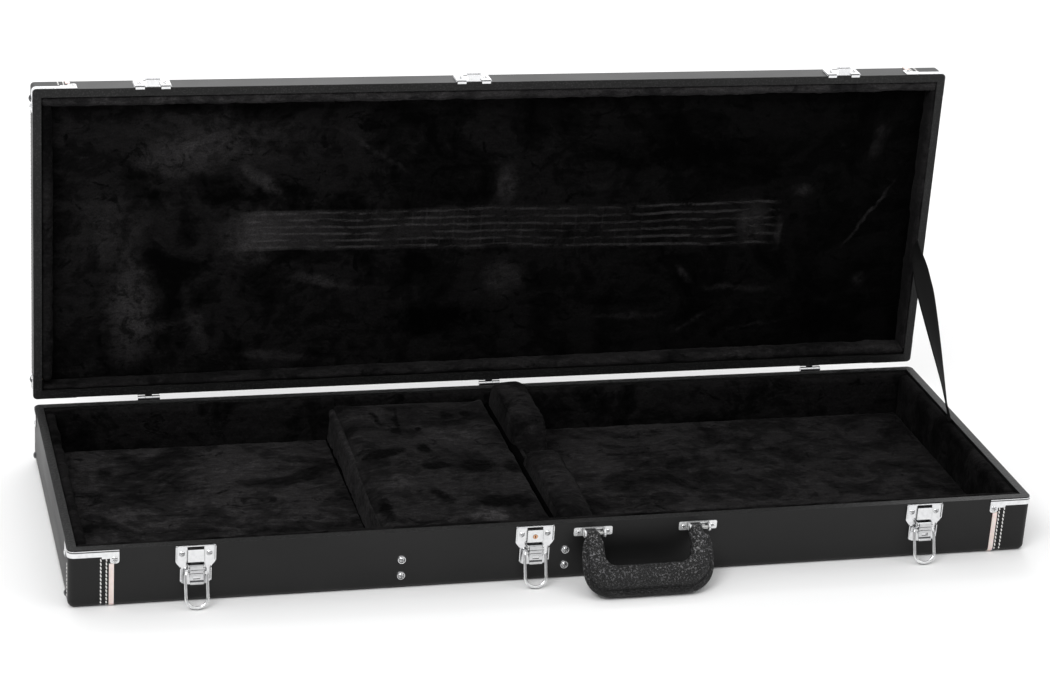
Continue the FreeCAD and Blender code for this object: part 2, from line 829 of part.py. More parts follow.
def bail():
    """Wire loop hanging from its pivot along x, crimped at its lower end."""
    wire, leg_x, length = dims.bail_wire, dims.bail_half, dims.bail_length
    bend, inner_end = 2.6, 4.9
    straight = length - leg_x
    parts = [place(torus(leg_x, wire, 180), (0, 0, -straight), (1, 0, 0), -90)]
    for sign, axis, turn in ((-1, "-x", ((0, 1, 1), 180)), (1, "x", ((1, 0, 0), 90))):
        parts.append(cylinder("-z", (sign * leg_x, 0, -bend), wire, straight - bend))
        elbow = torus(bend, wire, 90)
        parts.append(place(elbow, (sign * (leg_x - bend), 0, -bend), *turn))
        parts.append(cylinder(axis, (sign * inner_end, 0, 0), wire, leg_x - bend - inner_end))
    crimp = fuse(
        cylinder("x", (-1.6, 0, -length), wire + 0.1, 3.2),
        box(-1.6, 1.6, -1.2, 1.2, -length - 0.6, -length + 2.0),
    )
    return fuse(*parts, crimp)


lever_master = lever()
bail_master = bail()
for side, x in latch_x.items():
    keep("latch_lever_" + side, stand(lever_master, (x, lever_y, dims.lever_height)))
    keep(
        "latch_bail_" + side,
        place(
            group(bail_master),
            (x, lever_y - dims.bail_out, dims.lever_height - dims.bail_drop),
            (1, 0, 0),
            -dims.bail_tilt.value,
        ),
    )

# ---------------------------------------------------------------- handle
eye_x = dims.handle_spacing / 2
bracket_x = [dims.handle_middle - eye_x, dims.handle_middle + eye_x]
bracket_thick = 1.4
bracket_screw_xs = (-16.2, 16.2)
bracket_screw_z = dims.handle_height - 0.4


def bracket():
    """Plate with two ears for the handle pin and a lip across the top."""
    body = new_body(fresh("bracket"))
    z, out = dims.handle_height, dims.handle_out
    half_x, half_z = 21.2, 4.8
    ear_radius, ear_thick = 4.2, 1.8
    points = [
        (-half_x, z - half_z), (half_x, z - half_z), (half_x, z + half_z), (-half_x, z + half_z)
    ]
    solid = pad(body, "XZ_Plane", 0, points, bracket_thick)
    round_edges(
        body, solid, lambda b: b.YLength > 1 and b.XLength < 0.01 and b.ZLength < 0.01, 1.8
    )
    extra = []
    for x in (-11.6, 9.8):
        extra.append(box(x, x + ear_thick, -out, -1.2, z - ear_radius, z + ear_radius))
        extra.append(cylinder("x", (x, -out, z), ear_radius, ear_thick))
    extra.append(box(-11.6, 11.6, -3.4, -1.2, z + 3.0, z + half_z))
    holes = [cylinder("x", (-14, -out, z), dims.handle_pin, 28)]
    holes += [cylinder("-y", (x, 1, bracket_screw_z), 1.6, 4) for x in bracket_screw_xs]
    return cut(fuse(body, *extra), *holes)


bracket_master = bracket()
keep("handle_brackets", group(*[stand(bracket_master, (x, front, 0)) for x in bracket_x]))
handle_y = front - dims.handle_out
keep(
    "handle_pins",
    group(
        *[
            cylinder("x", (x - 12.2, handle_y, dims.handle_height), dims.handle_pin, 24.4)
            for x in bracket_x
        ]
    ),
)
keep(
    "handle_bracket_screws",
    group(
        *[
            stand(small_screw, (x + dx, front - bracket_thick, bracket_screw_z), "-y")
            for x in bracket_x
            for dx in bracket_screw_xs
        ]
    ),
)


def handle_core():
    """Steel core with an eye around each pin, drawn hanging down."""
    strip_half, strip_thick_half = 4.5, 1.3
    ys = (-strip_thick_half, strip_thick_half)
    eyes, bores = [], []
    for sign in (-1, 1):
        x = sign * eye_x
        eyes.append(cylinder("x", (x - 5.6, 0, 0), 4.3, 11.2))
        eyes.append(box(x - strip_half, x + strip_half, *ys, -52.5, -3.5))
        bores.append(cylinder("x", (x - 8, 0, 0), dims.handle_pin + 0.06, 16))
    bar = box(-eye_x - strip_half, eye_x + strip_half, *ys, -55.5, -46.5)
    return cut(fuse(*eyes, bar), *bores)


def handle_grip():
    """U-shaped bar with rounded edges and a thin fin on its outer edge."""
    body = new_body("grip")
    fin_x = dims.handle_half
    out_x = fin_x - dims.handle_fin
    in_x = out_x - dims.grip_leg
    top = -9
    bottom = -dims.handle_drop + dims.handle_fin
    bar_z = bottom + dims.grip_depth
    thick, fin_thick = dims.grip_thick, dims.handle_fin_thick
    # x, z around the U
    bar = [
        (-out_x + 4.5, top), (-in_x - 1.5, top), (-in_x, top - 12), (-in_x, bar_z + 9),
        (-in_x + 9, bar_z), (in_x - 9, bar_z), (in_x, bar_z + 9), (in_x, top - 12),
        (in_x + 1.5, top), (out_x - 4.5, top), (out_x, top - 20), (out_x, bottom + 20),
        (out_x - 6, bottom + 6), (out_x - 20, bottom), (-out_x + 20, bottom),
        (-out_x + 6, bottom + 6), (-out_x, bottom + 20), (-out_x, top - 20),
    ]
    solid = pad(body, "XZ_Plane", -thick / 2, bar, thick)
    half_thick = thick.value / 2
    round_edges(
        body,
        solid,
        lambda b: b.YLength < 0.01 and abs(abs(b.YMin) - half_thick) < 0.01,
        5.5,
    )
    # x, z around the fin: its inner edge, then its outer edge
    fin = [
        (-fin_x, top - 22), (-out_x + 2, top - 14), (-out_x + 2, bottom + 22),
        (-out_x + 8, bottom + 8), (-out_x + 22, bottom + 2), (out_x - 22, bottom + 2),
        (out_x - 8, bottom + 8), (out_x - 2, bottom + 22), (out_x - 2, top - 14),
        (fin_x, top - 22), (fin_x, bottom + 20), (fin_x - 7.5, bottom + 1.5),
        (fin_x - 25, -dims.handle_drop), (-fin_x + 25, -dims.handle_drop),
        (-fin_x + 7.5, bottom + 1.5), (-fin_x, bottom + 20),
    ]
    pad(body, "XZ_Plane", -fin_thick / 2, fin, fin_thick)
    return body


core = handle_core()
core_kept = keep("handle_core", group(core))
grip_kept = keep("handle_grip", cut(handle_grip(), core))
for obj in (core_kept, grip_kept):
    place(
        obj,
        (dims.handle_middle + dims.handle_shift, handle_y, dims.handle_height),
        (1, 0, 0),
        -dims.handle_tilt.value,
    )

# ---------------------------------------------------------------- hinges
hinge_xs = [-dims.hinge_spacing, size(0), dims.hinge_spacing]
knuckle, knuckle_half = dims.knuckle_radius, dims.knuckle_half
leaf_half, leaf_thick = dims.hinge_half, dims.hinge_leaf
leaf_drop = 19
leaf_screw_drop = 13
leaf_screw_xs = (-8, 8)
leaf_hole = 1.15


def base_leaf():
    """Leaf on the back face of the base with the two outer knuckles, about x = 0."""
    low, high = hinge_z - knuckle, hinge_z - knuckle + leaf_thick
    parts = [box(-leaf_half, leaf_half, back, back + leaf_thick, hinge_z - leaf_drop, high)]
    outer_start = knuckle_half + 0.25
    for x0, x1 in ((-leaf_half, -outer_start), (outer_start, leaf_half)):
        parts.append(cylinder("x", (x0, hinge_y, hinge_z), knuckle, x1 - x0))
        parts.append(box(x0, x1, back, hinge_y, low, high))
    holes = [cylinder("x", (-20, hinge_y, hinge_z), dims.hinge_pin, 40)]
    for x in leaf_screw_xs:
        holes.append(cylinder("y", (x, back - 1, hinge_z - leaf_screw_drop), leaf_hole, 4))
    return cut(fuse(*parts), *holes)


leaf_master = base_leaf()
keep("hinge_base_leaves", group(*[stand(leaf_master, (x, 0, 0)) for x in hinge_xs]))
keep(
    "hinge_pins",
    group(
        *[
            cylinder("x", (x - leaf_half, hinge_y, hinge_z), dims.hinge_pin, 2 * leaf_half)
            for x in hinge_xs
        ]
    ),
)
keep(
    "hinge_base_screws",
    group(
        *[
            stand(small_screw, (x + dx, back + leaf_thick, hinge_z - leaf_screw_drop), "y")
            for x in hinge_xs
            for dx in leaf_screw_xs
        ]
    ),
)


def stay_strap():
    """A flat web from a slit in the base rim to a slit in the lid rim."""
    body = new_body("strap")
    half = dims.strap_width / 2
    front_y, back_y = dims.strap_base - half, dims.strap_base + half
    low, high = dims.strap_lid - half, dims.strap_lid + half
    base_rim, tail = dims.base_height, 14
    lid_rim = hinge_y + dims.seam_gap / 2
    points = [
        (front_y, base_rim - tail), (back_y, base_rim - tail), (back_y, base_rim),
        (lid_rim, low), (lid_rim + tail, low), (lid_rim + tail, high), (lid_rim, high),
        (front_y, base_rim),
    ]
    pad(body, "YZ_Plane", right_out + 0.3, points, dims.strap_thick)
    return body


keep("stay_strap", stay_strap())

# ------------------------------------------------------------------- lid
# drawn lying open side up, its hinge side at -y, then stood up on the hinge
lid_parts = []


def keep_lid(node, obj):
    lid_parts.append(keep(node, obj))


lid_rim = dims.lid_height
lid_hinge_face = -half_width
lid_latch_face = half_width
lid_trims = trims(lid_rim, dims.trim_leg, dims.trim_leg, dims.lid_corner_round)
covering, caps, piping, hinge_board, latch_board, end_boards, top_panel = shell(
    "lid", lid_rim, dims.top_panel, dims.lid_cap_left, dims.lid_cap_right,
    dims.lid_corner_round, dims.lid_edge_round,
)
keep_lid("lid_covering", covering)
keep_lid("lid_end_caps", caps)
keep_lid("lid_piping", piping)
keep_lid("lid_long_boards", group(hinge_board, latch_board))
keep_lid("lid_end_boards", end_boards)
# single blocks are grouped, so the group can carry the turn of the lid
keep_lid("lid_top_panel", group(top_panel))
lid_floor = dims.skin + dims.top_panel
lid_lining = lid_rim - dims.lining_drop + 0.5
keep_lid(
    "lid_linings",
    group(
        box(-inner_x, inner_x, -inner_y, -side_y, lid_floor, lid_lining),
        box(-inner_x, inner_x, side_y, inner_y, lid_floor, lid_lining),
        between_linings(-inner_x, left_in, lid_floor, lid_lining),
        between_linings(right_in, right_out, lid_floor, lid_lining),
    ),
)
lid_pad = between_linings(left_in + play, right_in - play, lid_floor, lid_floor + dims.lid_pad)
keep_lid("lid_panel_pad", group(lid_pad))
keep_lid("lid_corner_trims", group(lid_trims))
keep_lid("lid_corner_screws", trim_screws(lid_rim, dims.trim_leg, dims.trim_leg))
keep_lid("lid_end_studs", end_studs())
keep_lid("lid_spine_feet", spine_feet(lid_hinge_face, "-y", "y", 13))

lid_axis_y = lid_hinge_face - dims.hinge_offset
lid_axis_z = lid_rim + dims.seam_gap / 2


def lid_leaf():
    """Leaf on the hinge side of the lid with the middle knuckle, about x = 0."""
    face, y, z = lid_hinge_face, lid_axis_y, lid_axis_z
    low, high = z - knuckle, z - knuckle + leaf_thick
    parts = [
        box(-leaf_half, leaf_half, face - leaf_thick, face, z - leaf_drop, high),
        cylinder("x", (-knuckle_half, y, z), knuckle, 2 * knuckle_half),
        box(-knuckle_half, knuckle_half, y, face, low, high),
    ]
    holes = [cylinder("x", (-20, y, z), dims.hinge_pin + 0.05, 40)]
    for x in leaf_screw_xs:
        holes.append(cylinder("-y", (x, face + 1, z - leaf_screw_drop), leaf_hole, 4))
    return cut(fuse(*parts), *holes)


lid_leaf_master = lid_leaf()
keep_lid("hinge_lid_leaves", group(*[stand(lid_leaf_master, (x, 0, 0)) for x in hinge_xs]))
lid_screw_y = lid_hinge_face - leaf_thick
keep_lid(
    "hinge_lid_screws",
    group(
        *[
            stand(small_screw, (x + dx, lid_screw_y, lid_axis_z - leaf_screw_drop), "-y")
            for x in hinge_xs
            for dx in leaf_screw_xs
        ]
    ),
)

catch_screw_xs = (-14.2, 14.2)
catch_screw_z = lid_rim - 9.5
wing_out = 2.3


def catch():
    """Catch plate with two raised wings and a hook, back on y = 0, outward +y."""
    rim, thick = lid_rim, dims.plate_thick
    half = size(20.6)
    body = new_body(fresh("catch"))
    low, high = rim - 20.5, rim - 0.9
    points = [(-half, low), (half, low), (half, high), (-half, high)]
    solid = pad(body, "XZ_Plane", -thick, points, thick)
    middle = rim.value - 10
    round_edges(
        body,
        solid,
        lambda b: b.YLength > 0.5 and b.XLength < 0.01 and b.ZLength < 0.01 and b.ZMin < middle,
        3,
    )
    rooted = thick - 0.05
    lip = rim + 0.25
    extra = [
        box(-half + 0.6, -8.6, rooted, wing_out, rim - 19, rim - 1.4),
        box(8.6, half - 0.6, rooted, wing_out, rim - 19, rim - 1.4),
        # hook
        box(-6.6, 6.6, rooted, 8.3, rim - 1.3, rim - 0.4),
        box(-8, 8, 6.9, 8.3, rim - 8.6, rim - 0.4),
        cylinder("x", (-8, 7.6, rim - 8.6), 0.7, 16),
        # thin lips folded over the rim beside the hook
        box(-half + 1.5, -9, -1.8, thick, rim, lip),
        box(9, half - 1.5, -1.8, thick, rim, lip),
        box(-half + 1.5, -9, 0, thick, rim - 1, lip),
        box(9, half - 1.5, 0, thick, rim - 1, lip),
    ]
    # ribs on the outer face of the hook
    for z in (rim - 3.6, rim - 6.2):
        extra.append(box(-8, 8, 8.2, 8.6, z, z + 0.9))
    holes = [cylinder("y", (x, -1, catch_screw_z), 1.6, 6) for x in catch_screw_xs]
    return cut(fuse(body, *extra), *holes)


catch_master = catch()
keep_lid(
    "lid_catches",
    group(*[stand(catch_master, (x, lid_latch_face, 0)) for x in latch_x.values()]),
)
keep_lid(
    "catch_screws",
    group(
        *[
            stand(plate_screw, (x + dx, lid_latch_face + wing_out, catch_screw_z), "y")
            for x in latch_x.values()
            for dx in catch_screw_xs
        ]
    ),
)

# stand the lid up: its hinge side down, its open side to the front
lid_back_y = hinge_y + dims.seam_gap / 2 + lid_rim
lid_middle_z = hinge_z + dims.hinge_offset + half_width
for obj in lid_parts:
    place(obj, (0, lid_back_y, lid_middle_z), (1, 0, 0), 90)

# ---------------------------------------------------------------- output
doc.recompute()
bad = []
for obj in doc.Objects:
    if any(word in obj.State for word in ("Invalid", "Error")):
        bad.append(obj.Name + " " + str(obj.State))
for node, obj in sub_parts.items():
    if obj.Shape.isNull() or not obj.Shape.isValid() or not obj.Shape.Solids:
        bad.append(node + " has no valid shape")
if bad:
    raise RuntimeError("; ".join(bad))
os.makedirs("parts", exist_ok=True)
for node, obj in sub_parts.items():
    obj.Shape.exportStep("parts/" + node + ".step")
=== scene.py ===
"""An open hard case for a necked instrument, lined with plush.

X runs along the case with the headstock end at -x, the front faces -y and z is up. The base
lies open side up; the lid stands along its back with its open side towards -y.
"""

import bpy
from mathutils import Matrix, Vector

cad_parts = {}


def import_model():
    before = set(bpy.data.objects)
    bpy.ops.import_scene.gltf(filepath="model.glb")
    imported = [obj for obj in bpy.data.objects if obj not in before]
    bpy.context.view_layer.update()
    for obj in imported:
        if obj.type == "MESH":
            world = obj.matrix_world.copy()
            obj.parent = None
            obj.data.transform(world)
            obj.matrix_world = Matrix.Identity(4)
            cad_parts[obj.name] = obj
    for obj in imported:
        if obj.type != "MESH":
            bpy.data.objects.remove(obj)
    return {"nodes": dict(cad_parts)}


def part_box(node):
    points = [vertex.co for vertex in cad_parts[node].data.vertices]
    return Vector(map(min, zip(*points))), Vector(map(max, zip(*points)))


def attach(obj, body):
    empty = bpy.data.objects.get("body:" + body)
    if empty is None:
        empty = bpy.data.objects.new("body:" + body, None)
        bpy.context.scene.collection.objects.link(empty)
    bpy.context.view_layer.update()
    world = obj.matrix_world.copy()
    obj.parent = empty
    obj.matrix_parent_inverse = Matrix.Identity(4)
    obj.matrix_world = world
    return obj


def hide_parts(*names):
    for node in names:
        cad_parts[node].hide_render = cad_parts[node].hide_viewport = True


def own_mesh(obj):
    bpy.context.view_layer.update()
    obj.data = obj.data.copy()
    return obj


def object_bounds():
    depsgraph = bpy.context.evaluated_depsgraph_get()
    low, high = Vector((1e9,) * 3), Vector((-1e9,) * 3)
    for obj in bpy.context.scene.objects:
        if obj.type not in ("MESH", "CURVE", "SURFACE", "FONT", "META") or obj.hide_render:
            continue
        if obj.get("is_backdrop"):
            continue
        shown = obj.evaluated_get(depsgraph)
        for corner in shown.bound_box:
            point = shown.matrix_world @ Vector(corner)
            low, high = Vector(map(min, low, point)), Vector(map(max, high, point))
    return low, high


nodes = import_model()["nodes"]

import math

import bmesh
import bpy
import numpy as np
from mathutils import Matrix, Vector

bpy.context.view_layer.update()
MM = 0.001
scene = bpy.context.scene


# ------------------------------------------------------------------ noise
# Unevenness of the pile, as layers of (height, grain in mm, seed step).
BLOCK_PILE = ((0.95, 19, 0), (0.75, 8.5, 5), (0.35, 3.6, 9))
CUSHION_PILE = ((0.9, 19, 0), (0.7, 8.5, 5), (0.4, 3.4, 9))
CRADLE_PILE = ((0.9, 21, 0), (0.7, 9, 2), (0.3, 3.6, 4))


def hashed(x, y, z, seed):
    """A fixed pseudo-random value in -1..1 for each whole grid point."""
    bits = (x * 374761393 + y * 668265263 + z * 1440670441 + seed * 1274126177) & 0xFFFFFFFF
    bits = ((bits ^ (bits >> 13)) * 1274126177) & 0xFFFFFFFF
    bits = (bits ^ (bits >> 16)) & 0xFFFF
    return bits / 32767.5 - 1.0


def noise(points, grain, seed):
    """Smooth value noise in -1..1; points and grain are in mm."""
    scaled = points / grain
    cell = np.floor(scaled).astype(np.int64)
    part = scaled - cell
    part = part * part * part * (part * (part * 6 - 15) + 10)
    total = np.zeros(len(points))
    for corner in np.ndindex(2, 2, 2):
        weight = np.where(corner, part, 1 - part)
        value = hashed(*(cell + corner).T, seed)
        total += weight[:, 0] * weight[:, 1] * weight[:, 2] * value
    return total


def pile(points, layers, seed):
    return sum(height * noise(points, grain, seed + step) for height, grain, step in layers)


# ----------------------------------------------------------- shader nodes
class Nodes:
    """The emptied node tree of a material or world, with short node steps."""

    def __init__(self, owner, coordinates):
        owner.use_nodes = True
        self.tree = owner.node_tree
        self.tree.nodes.clear()
        self.place = self.node("ShaderNodeTexCoord").outputs[coordinates]

    def node(self, kind, inputs=None, **settings):
        """A new node; inputs maps input names or numbers to values or sockets."""
        node = self.tree.nodes.new(kind)
        for key, value in settings.items():
            setattr(node, key, value)
        for key, value in (inputs or {}).items():
            self.feed(node.inputs[key], value)
        return node

    def feed(self, socket, value):
        if isinstance(value, bpy.types.NodeSocket):
            self.tree.links.new(value, socket)
        elif isinstance(value, tuple) and len(value) == 3 and socket.type == "RGBA":
            socket.default_value = (*value, 1.0)
        else:
            socket.default_value = value

    def math(self, operation, first, second=0.0, third=0.0, clamp=False):
        inputs = {0: first, 1: second, 2: third}
        return self.node(
            "ShaderNodeMath", inputs, operation=operation, use_clamp=clamp
        ).outputs[0]

    def add(self, first, second):
        return self.math("ADD", first, second)

    def times(self, first, second):
        return self.math("MULTIPLY", first, second)

    def scale_add(self, value, by, add):
        return self.math("MULTIPLY_ADD", value, by, add)

    def ramp(self, value, *stops, smooth=True):
        """Colour ramp: stops are (place, level), a level being a grey or a colour."""
        node = self.node("ShaderNodeValToRGB")
        node.color_ramp.interpolation = "EASE" if smooth else "LINEAR"
        while len(node.color_ramp.elements) < len(stops):
            node.color_ramp.elements.new(0.5)
        for element, (at, level) in zip(node.color_ramp.elements, stops):
            element.position = at
            colour = level if isinstance(level, tuple) else (level, level, level)
            element.color = (*colour, 1.0)
        self.feed(node.inputs[0], value)
        return node.outputs[0]

    def mix(self, factor, first, second, blend="MIX"):
        inputs = {"Factor": factor, 6: first, 7: second}
        return self.node(
            "ShaderNodeMix", inputs, data_type="RGBA", blend_type=blend
        ).outputs[2]

    def tint(self, first, second):
        """Two colours multiplied."""
        return self.mix(1.0, first, second, "MULTIPLY")

    def smoothstep(self, value, from_min, from_max, to_min, to_max):
        inputs = {
            "Value": value, "From Min": from_min, "From Max": from_max,
            "To Min": to_min, "To Max": to_max,
        }
        return self.node(
            "ShaderNodeMapRange", inputs, interpolation_type="SMOOTHSTEP"
        ).outputs[0]


class Shader(Nodes):
    """A Principled material in object coordinates."""

    def __init__(self, name):
        self.material = bpy.data.materials.new(name)
        super().__init__(self.material, "Object")
        self.surface = self.node("ShaderNodeBsdfPrincipled")
        self.out = self.node("ShaderNodeOutputMaterial", {"Surface": self.surface.outputs["BSDF"]})

    def finish(self, **values):
        """Feeds the Principled inputs, spaces written as underscores."""
        for key, value in values.items():
            self.feed(self.surface.inputs[key.replace("_", " ")], value)
        return self.material

    def noise(self, scale, detail=2.0, rough=0.5, distortion=0.0, vector=None):
        inputs = {
            "Vector": vector or self.place, "Scale": scale, "Detail": detail,
            "Roughness": rough, "Distortion": distortion,
        }
        return self.node("ShaderNodeTexNoise", inputs).outputs[0]

    def cells(self, scale, feature="F1"):
        inputs = {"Vector": self.place, "Scale": scale}
        return self.node("ShaderNodeTexVoronoi", inputs, feature=feature).outputs["Distance"]

    def map(self, scale=(1, 1, 1), turn=(0, 0, 0), shift=(0, 0, 0)):
        """Mapped object coordinates; turn is in degrees."""
        turn = tuple(math.radians(angle) for angle in turn)
        inputs = {"Vector": self.place, "Scale": scale, "Rotation": turn, "Location": shift}
        return self.node("ShaderNodeMapping", inputs).outputs[0]

    def axis(self, letter):
        return self.node("ShaderNodeSeparateXYZ", {0: self.place}).outputs[letter]

    def crevice(self, reach):
        """1 on open surfaces, falling to 0 in narrow gaps and corners."""
        node = self.node("ShaderNodeAmbientOcclusion", {"Distance": reach}, samples=6)
        return node.outputs["AO"]

    def bump(self, height, strength, distance, normal=None):
        inputs = {"Strength": strength, "Distance": distance, "Height": height}
        if normal is not None:
            inputs["Normal"] = normal
        return self.node("ShaderNodeBump", inputs).outputs[0]

    def brushed(self, facing, marks):
        """Ragged elliptical places in the nap, lying in x-z when facing the front, or x-y."""
        warp = 0.012  # how far the edges of the marks wander, in metres
        drift = self.node("ShaderNodeTexNoise", {"Vector": self.place, "Scale": 55, "Detail": 4})
        centred = self.node(
            "ShaderNodeVectorMath", {0: self.place, 1: (warp / 2,) * 3}, operation="SUBTRACT"
        )
        moved = self.node(
            "ShaderNodeVectorMath",
            {0: drift.outputs["Color"], 1: (warp,) * 3, 2: centred.outputs[0]},
            operation="MULTIPLY_ADD",
        )
        endless = 1000  # half size across the face, so that depth does not count
        total = None
        for x, other, length, width, turn, level in marks:
            x, other, length, width = (value * MM for value in (x, other, length, width))
            turn = math.radians(turn)
            if facing == "front":
                place, spin, size = (x, 0, other), (0, -turn, 0), (length, endless, width)
            else:
                place, spin, size = (x, other, 0), (0, 0, turn), (length, width, endless)
            local = self.node(
                "ShaderNodeMapping",
                {"Vector": moved.outputs[0], "Location": place, "Rotation": spin, "Scale": size},
                vector_type="TEXTURE",
            )
            away = self.node("ShaderNodeVectorMath", {0: local.outputs[0]}, operation="LENGTH")
            value = self.smoothstep(
                away.outputs["Value"], from_min=0.15, from_max=1.0, to_min=level, to_max=0.0
            )
            total = value if total is None else self.add(total, value)
        grain = self.noise(scale=70, detail=5, rough=0.72, distortion=0.5)
        return self.times(total, self.ramp(grain, (0.36, 0.35), (0.62, 1.25)))


# -------------------------------------------------------------- materials
def vinyl(name, grain, depth, base, rough=0.42, shine=0.28, fleck=1.0):
    """Black embossed cloth; grain is the scale of its pores and depth their height,
    fleck is the brightness of the middle of each pore."""
    mat = Shader(name)
    pores = mat.cells(scale=grain)
    creases = mat.noise(scale=grain * 0.55, detail=4, rough=0.6)
    height = mat.add(mat.times(pores, 0.7), creases)
    haze = mat.noise(scale=9, detail=3, rough=0.55, distortion=0.4)
    smear = mat.noise(
        scale=3.0, detail=4, rough=0.6, distortion=0.2, vector=mat.map(scale=(1, 1, 7))
    )
    tone = mat.ramp(haze, (0.3, base * 0.85), (0.7, base * 1.15))
    specks = mat.ramp(mat.noise(scale=1500, detail=1), (0.35, 0.85), (0.7, 1.25))
    tops = mat.ramp(pores, (0.0, fleck), (0.22, 0.5 + 0.5 * fleck), (0.45, 1.0), (0.8, 0.8))
    return mat.finish(
        Base_Color=mat.tint(mat.tint(tone, specks), tops),
        Roughness=mat.ramp(smear, (0.25, rough - 0.05), (0.75, rough + 0.07)),
        Specular_IOR_Level=shine,
        Normal=mat.bump(height, strength=0.55, distance=depth),
    )


def pressed_lines(mat):
    """Six long pale lines along x and short cross lines, within a darker body."""
    x, z = mat.axis("X"), mat.axis("Z")

    def along(*stops):
        """A ramp along x, which is shifted by half a metre to start at 0."""
        return mat.ramp(mat.add(x, 0.5), *stops)

    # height above the slightly sloping middle line, counted in gaps between lines
    off = mat.math("SUBTRACT", z, mat.scale_add(x, by=-0.0120, add=0.2533))
    waver = mat.noise(scale=13, detail=3, rough=0.6)
    off = mat.add(off, mat.scale_add(waver, by=0.009, add=-0.0045))
    lane = mat.math("DIVIDE", off, mat.scale_add(x, by=0.0034, add=0.0088))
    nearness = mat.math("PINGPONG", mat.add(lane, 0.5), 0.5)
    near = mat.ramp(nearness, (0.0, 1.0), (0.10, 0.7), (0.24, 0.0))
    inside = mat.ramp(mat.math("ABSOLUTE", mat.times(lane, 0.25)), (0.70, 1.0), (0.78, 0.0))
    length = along(
        (0.20, 0.0), (0.235, 0.75), (0.62, 0.9), (0.74, 1.6), (0.835, 1.6), (0.85, 0.0)
    )
    patches = mat.noise(
        scale=30, detail=5, rough=0.75, distortion=0.9, vector=mat.map(scale=(0.7, 1, 2.5))
    )
    worn = mat.ramp(patches, (0.40, 0.02), (0.60, 1.35))
    cross = mat.ramp(mat.math("PINGPONG", mat.times(x, 62.0), 0.5), (0.0, 1.0), (0.10, 0.0))
    cross = mat.times(cross, along((0.30, 0.0), (0.40, 0.20), (0.66, 0.24), (0.70, 0.0)))
    body = along((0.19, 0.0), (0.23, 0.9), (0.33, 0.40), (0.5, 0.22), (0.80, 0.12), (0.86, 0.0))
    lines = mat.times(mat.add(mat.times(near, length), cross), mat.times(worn, 1.7))
    return mat.times(mat.add(lines, body), inside)


def plush(name, light, dark, size, seed, sheen, tufts, light_falloff=None,
          marks=None, facing="top", lines=False):
    """Deep black pile with patches where the nap lies the other way.

    light and dark are its two greys, size and seed scale and shift the patches, tufts is the
    strength of the painted highlights and shade on the raised tufts and fade a painted ramp of
    light and shade across x, its brightness at the left and right ends.
    """
    mat = Shader(name)
    place = mat.map(shift=(seed, seed * 0.7, seed * 1.3))
    big = mat.noise(scale=15 / size, detail=6, rough=0.62, distortion=0.9, vector=place)
    small = mat.noise(scale=46 / size, detail=5, rough=0.65, distortion=1.2, vector=place)
    streak = mat.noise(
        scale=30 / size, detail=4, rough=0.6, distortion=0.5,
        vector=mat.map(scale=(0.45, 2.6, 2.6), turn=(12, 20, 24), shift=(seed, 0, 0)),
    )
    nap = mat.add(mat.times(big, 0.58), mat.add(mat.times(small, 0.24), mat.times(streak, 0.18)))
    patch = mat.ramp(nap, (0.40, 0.0), (0.475, 0.30), (0.53, 0.72), (0.66, 1.0))
    gaps = mat.noise(
        scale=34 / size, detail=5, rough=0.74, distortion=1.6,
        vector=mat.map(scale=(0.8, 1.25, 1.25), shift=(seed + 3.1, 1.7, 0.4)),
    )
    amount = mat.times(patch, mat.ramp(gaps, (0.56, 1.0), (0.65, 0.12)))
    fibres = mat.noise(scale=620, detail=3, rough=0.7)
    gain = None
    if marks:
        total = mat.brushed(facing, marks)
        if lines:
            total = mat.add(total, pressed_lines(mat))
        amount = mat.math("ADD", amount, total, clamp=True)
        gain = mat.math("MAXIMUM", mat.scale_add(total, by=1.6, add=1.0), 0.22)
    dark_colour = (dark, dark * 0.98, dark * 1.02)
    light_colour = (light, light * 0.955, light * 0.975)
    tone = mat.mix(amount, dark_colour, light_colour)
    tone = mat.tint(tone, mat.ramp(fibres, (0.3, 0.72), (0.7, 1.3)))
    if tufts:
        # painted highlights: raised tufts catch the light in short ragged dashes
        comb = mat.noise(
            scale=150 / size, detail=6, rough=0.8, distortion=0.8,
            vector=mat.map(scale=(0.55, 1.5, 1.5), turn=(10, 14, 30), shift=(seed, 0.3, 0)),
        )
        raised = mat.ramp(comb, (0.44, 1.0 - 0.45 * tufts), (0.52, 1.0), (0.64, 1.0 + tufts))
        tone = mat.tint(tone, raised)
    if gain is not None:
        grey = mat.node("ShaderNodeCombineColor", {0: gain, 1: gain, 2: gain})
        tone = mat.tint(tone, grey.outputs[0])
    # painted light: the tone is scaled steadily from the left end to the right, for light falling
    # off across the piece
    if light_falloff is not None:
        left, right = light_falloff
        along = mat.scale_add(mat.axis("X"), by=1.0, add=0.5)
        tone = mat.tint(tone, mat.ramp(along, (0.02, left), (0.98, right), smooth=False))
    clumps = mat.noise(scale=180, detail=4, rough=0.6)
    height = mat.add(mat.times(fibres, 0.8), mat.times(clumps, 1.6))
    soft = mat.bump(nap, strength=0.6, distance=0.010)
    return mat.finish(
        Base_Color=tone,
        Roughness=1.0,
        Specular_IOR_Level=0.03,
        Sheen_Weight=sheen,
        Sheen_Roughness=0.45,
        Sheen_Tint=(0.75, 0.73, 0.74),
        Normal=mat.bump(height, strength=0.55, distance=0.0012, normal=soft),
    )


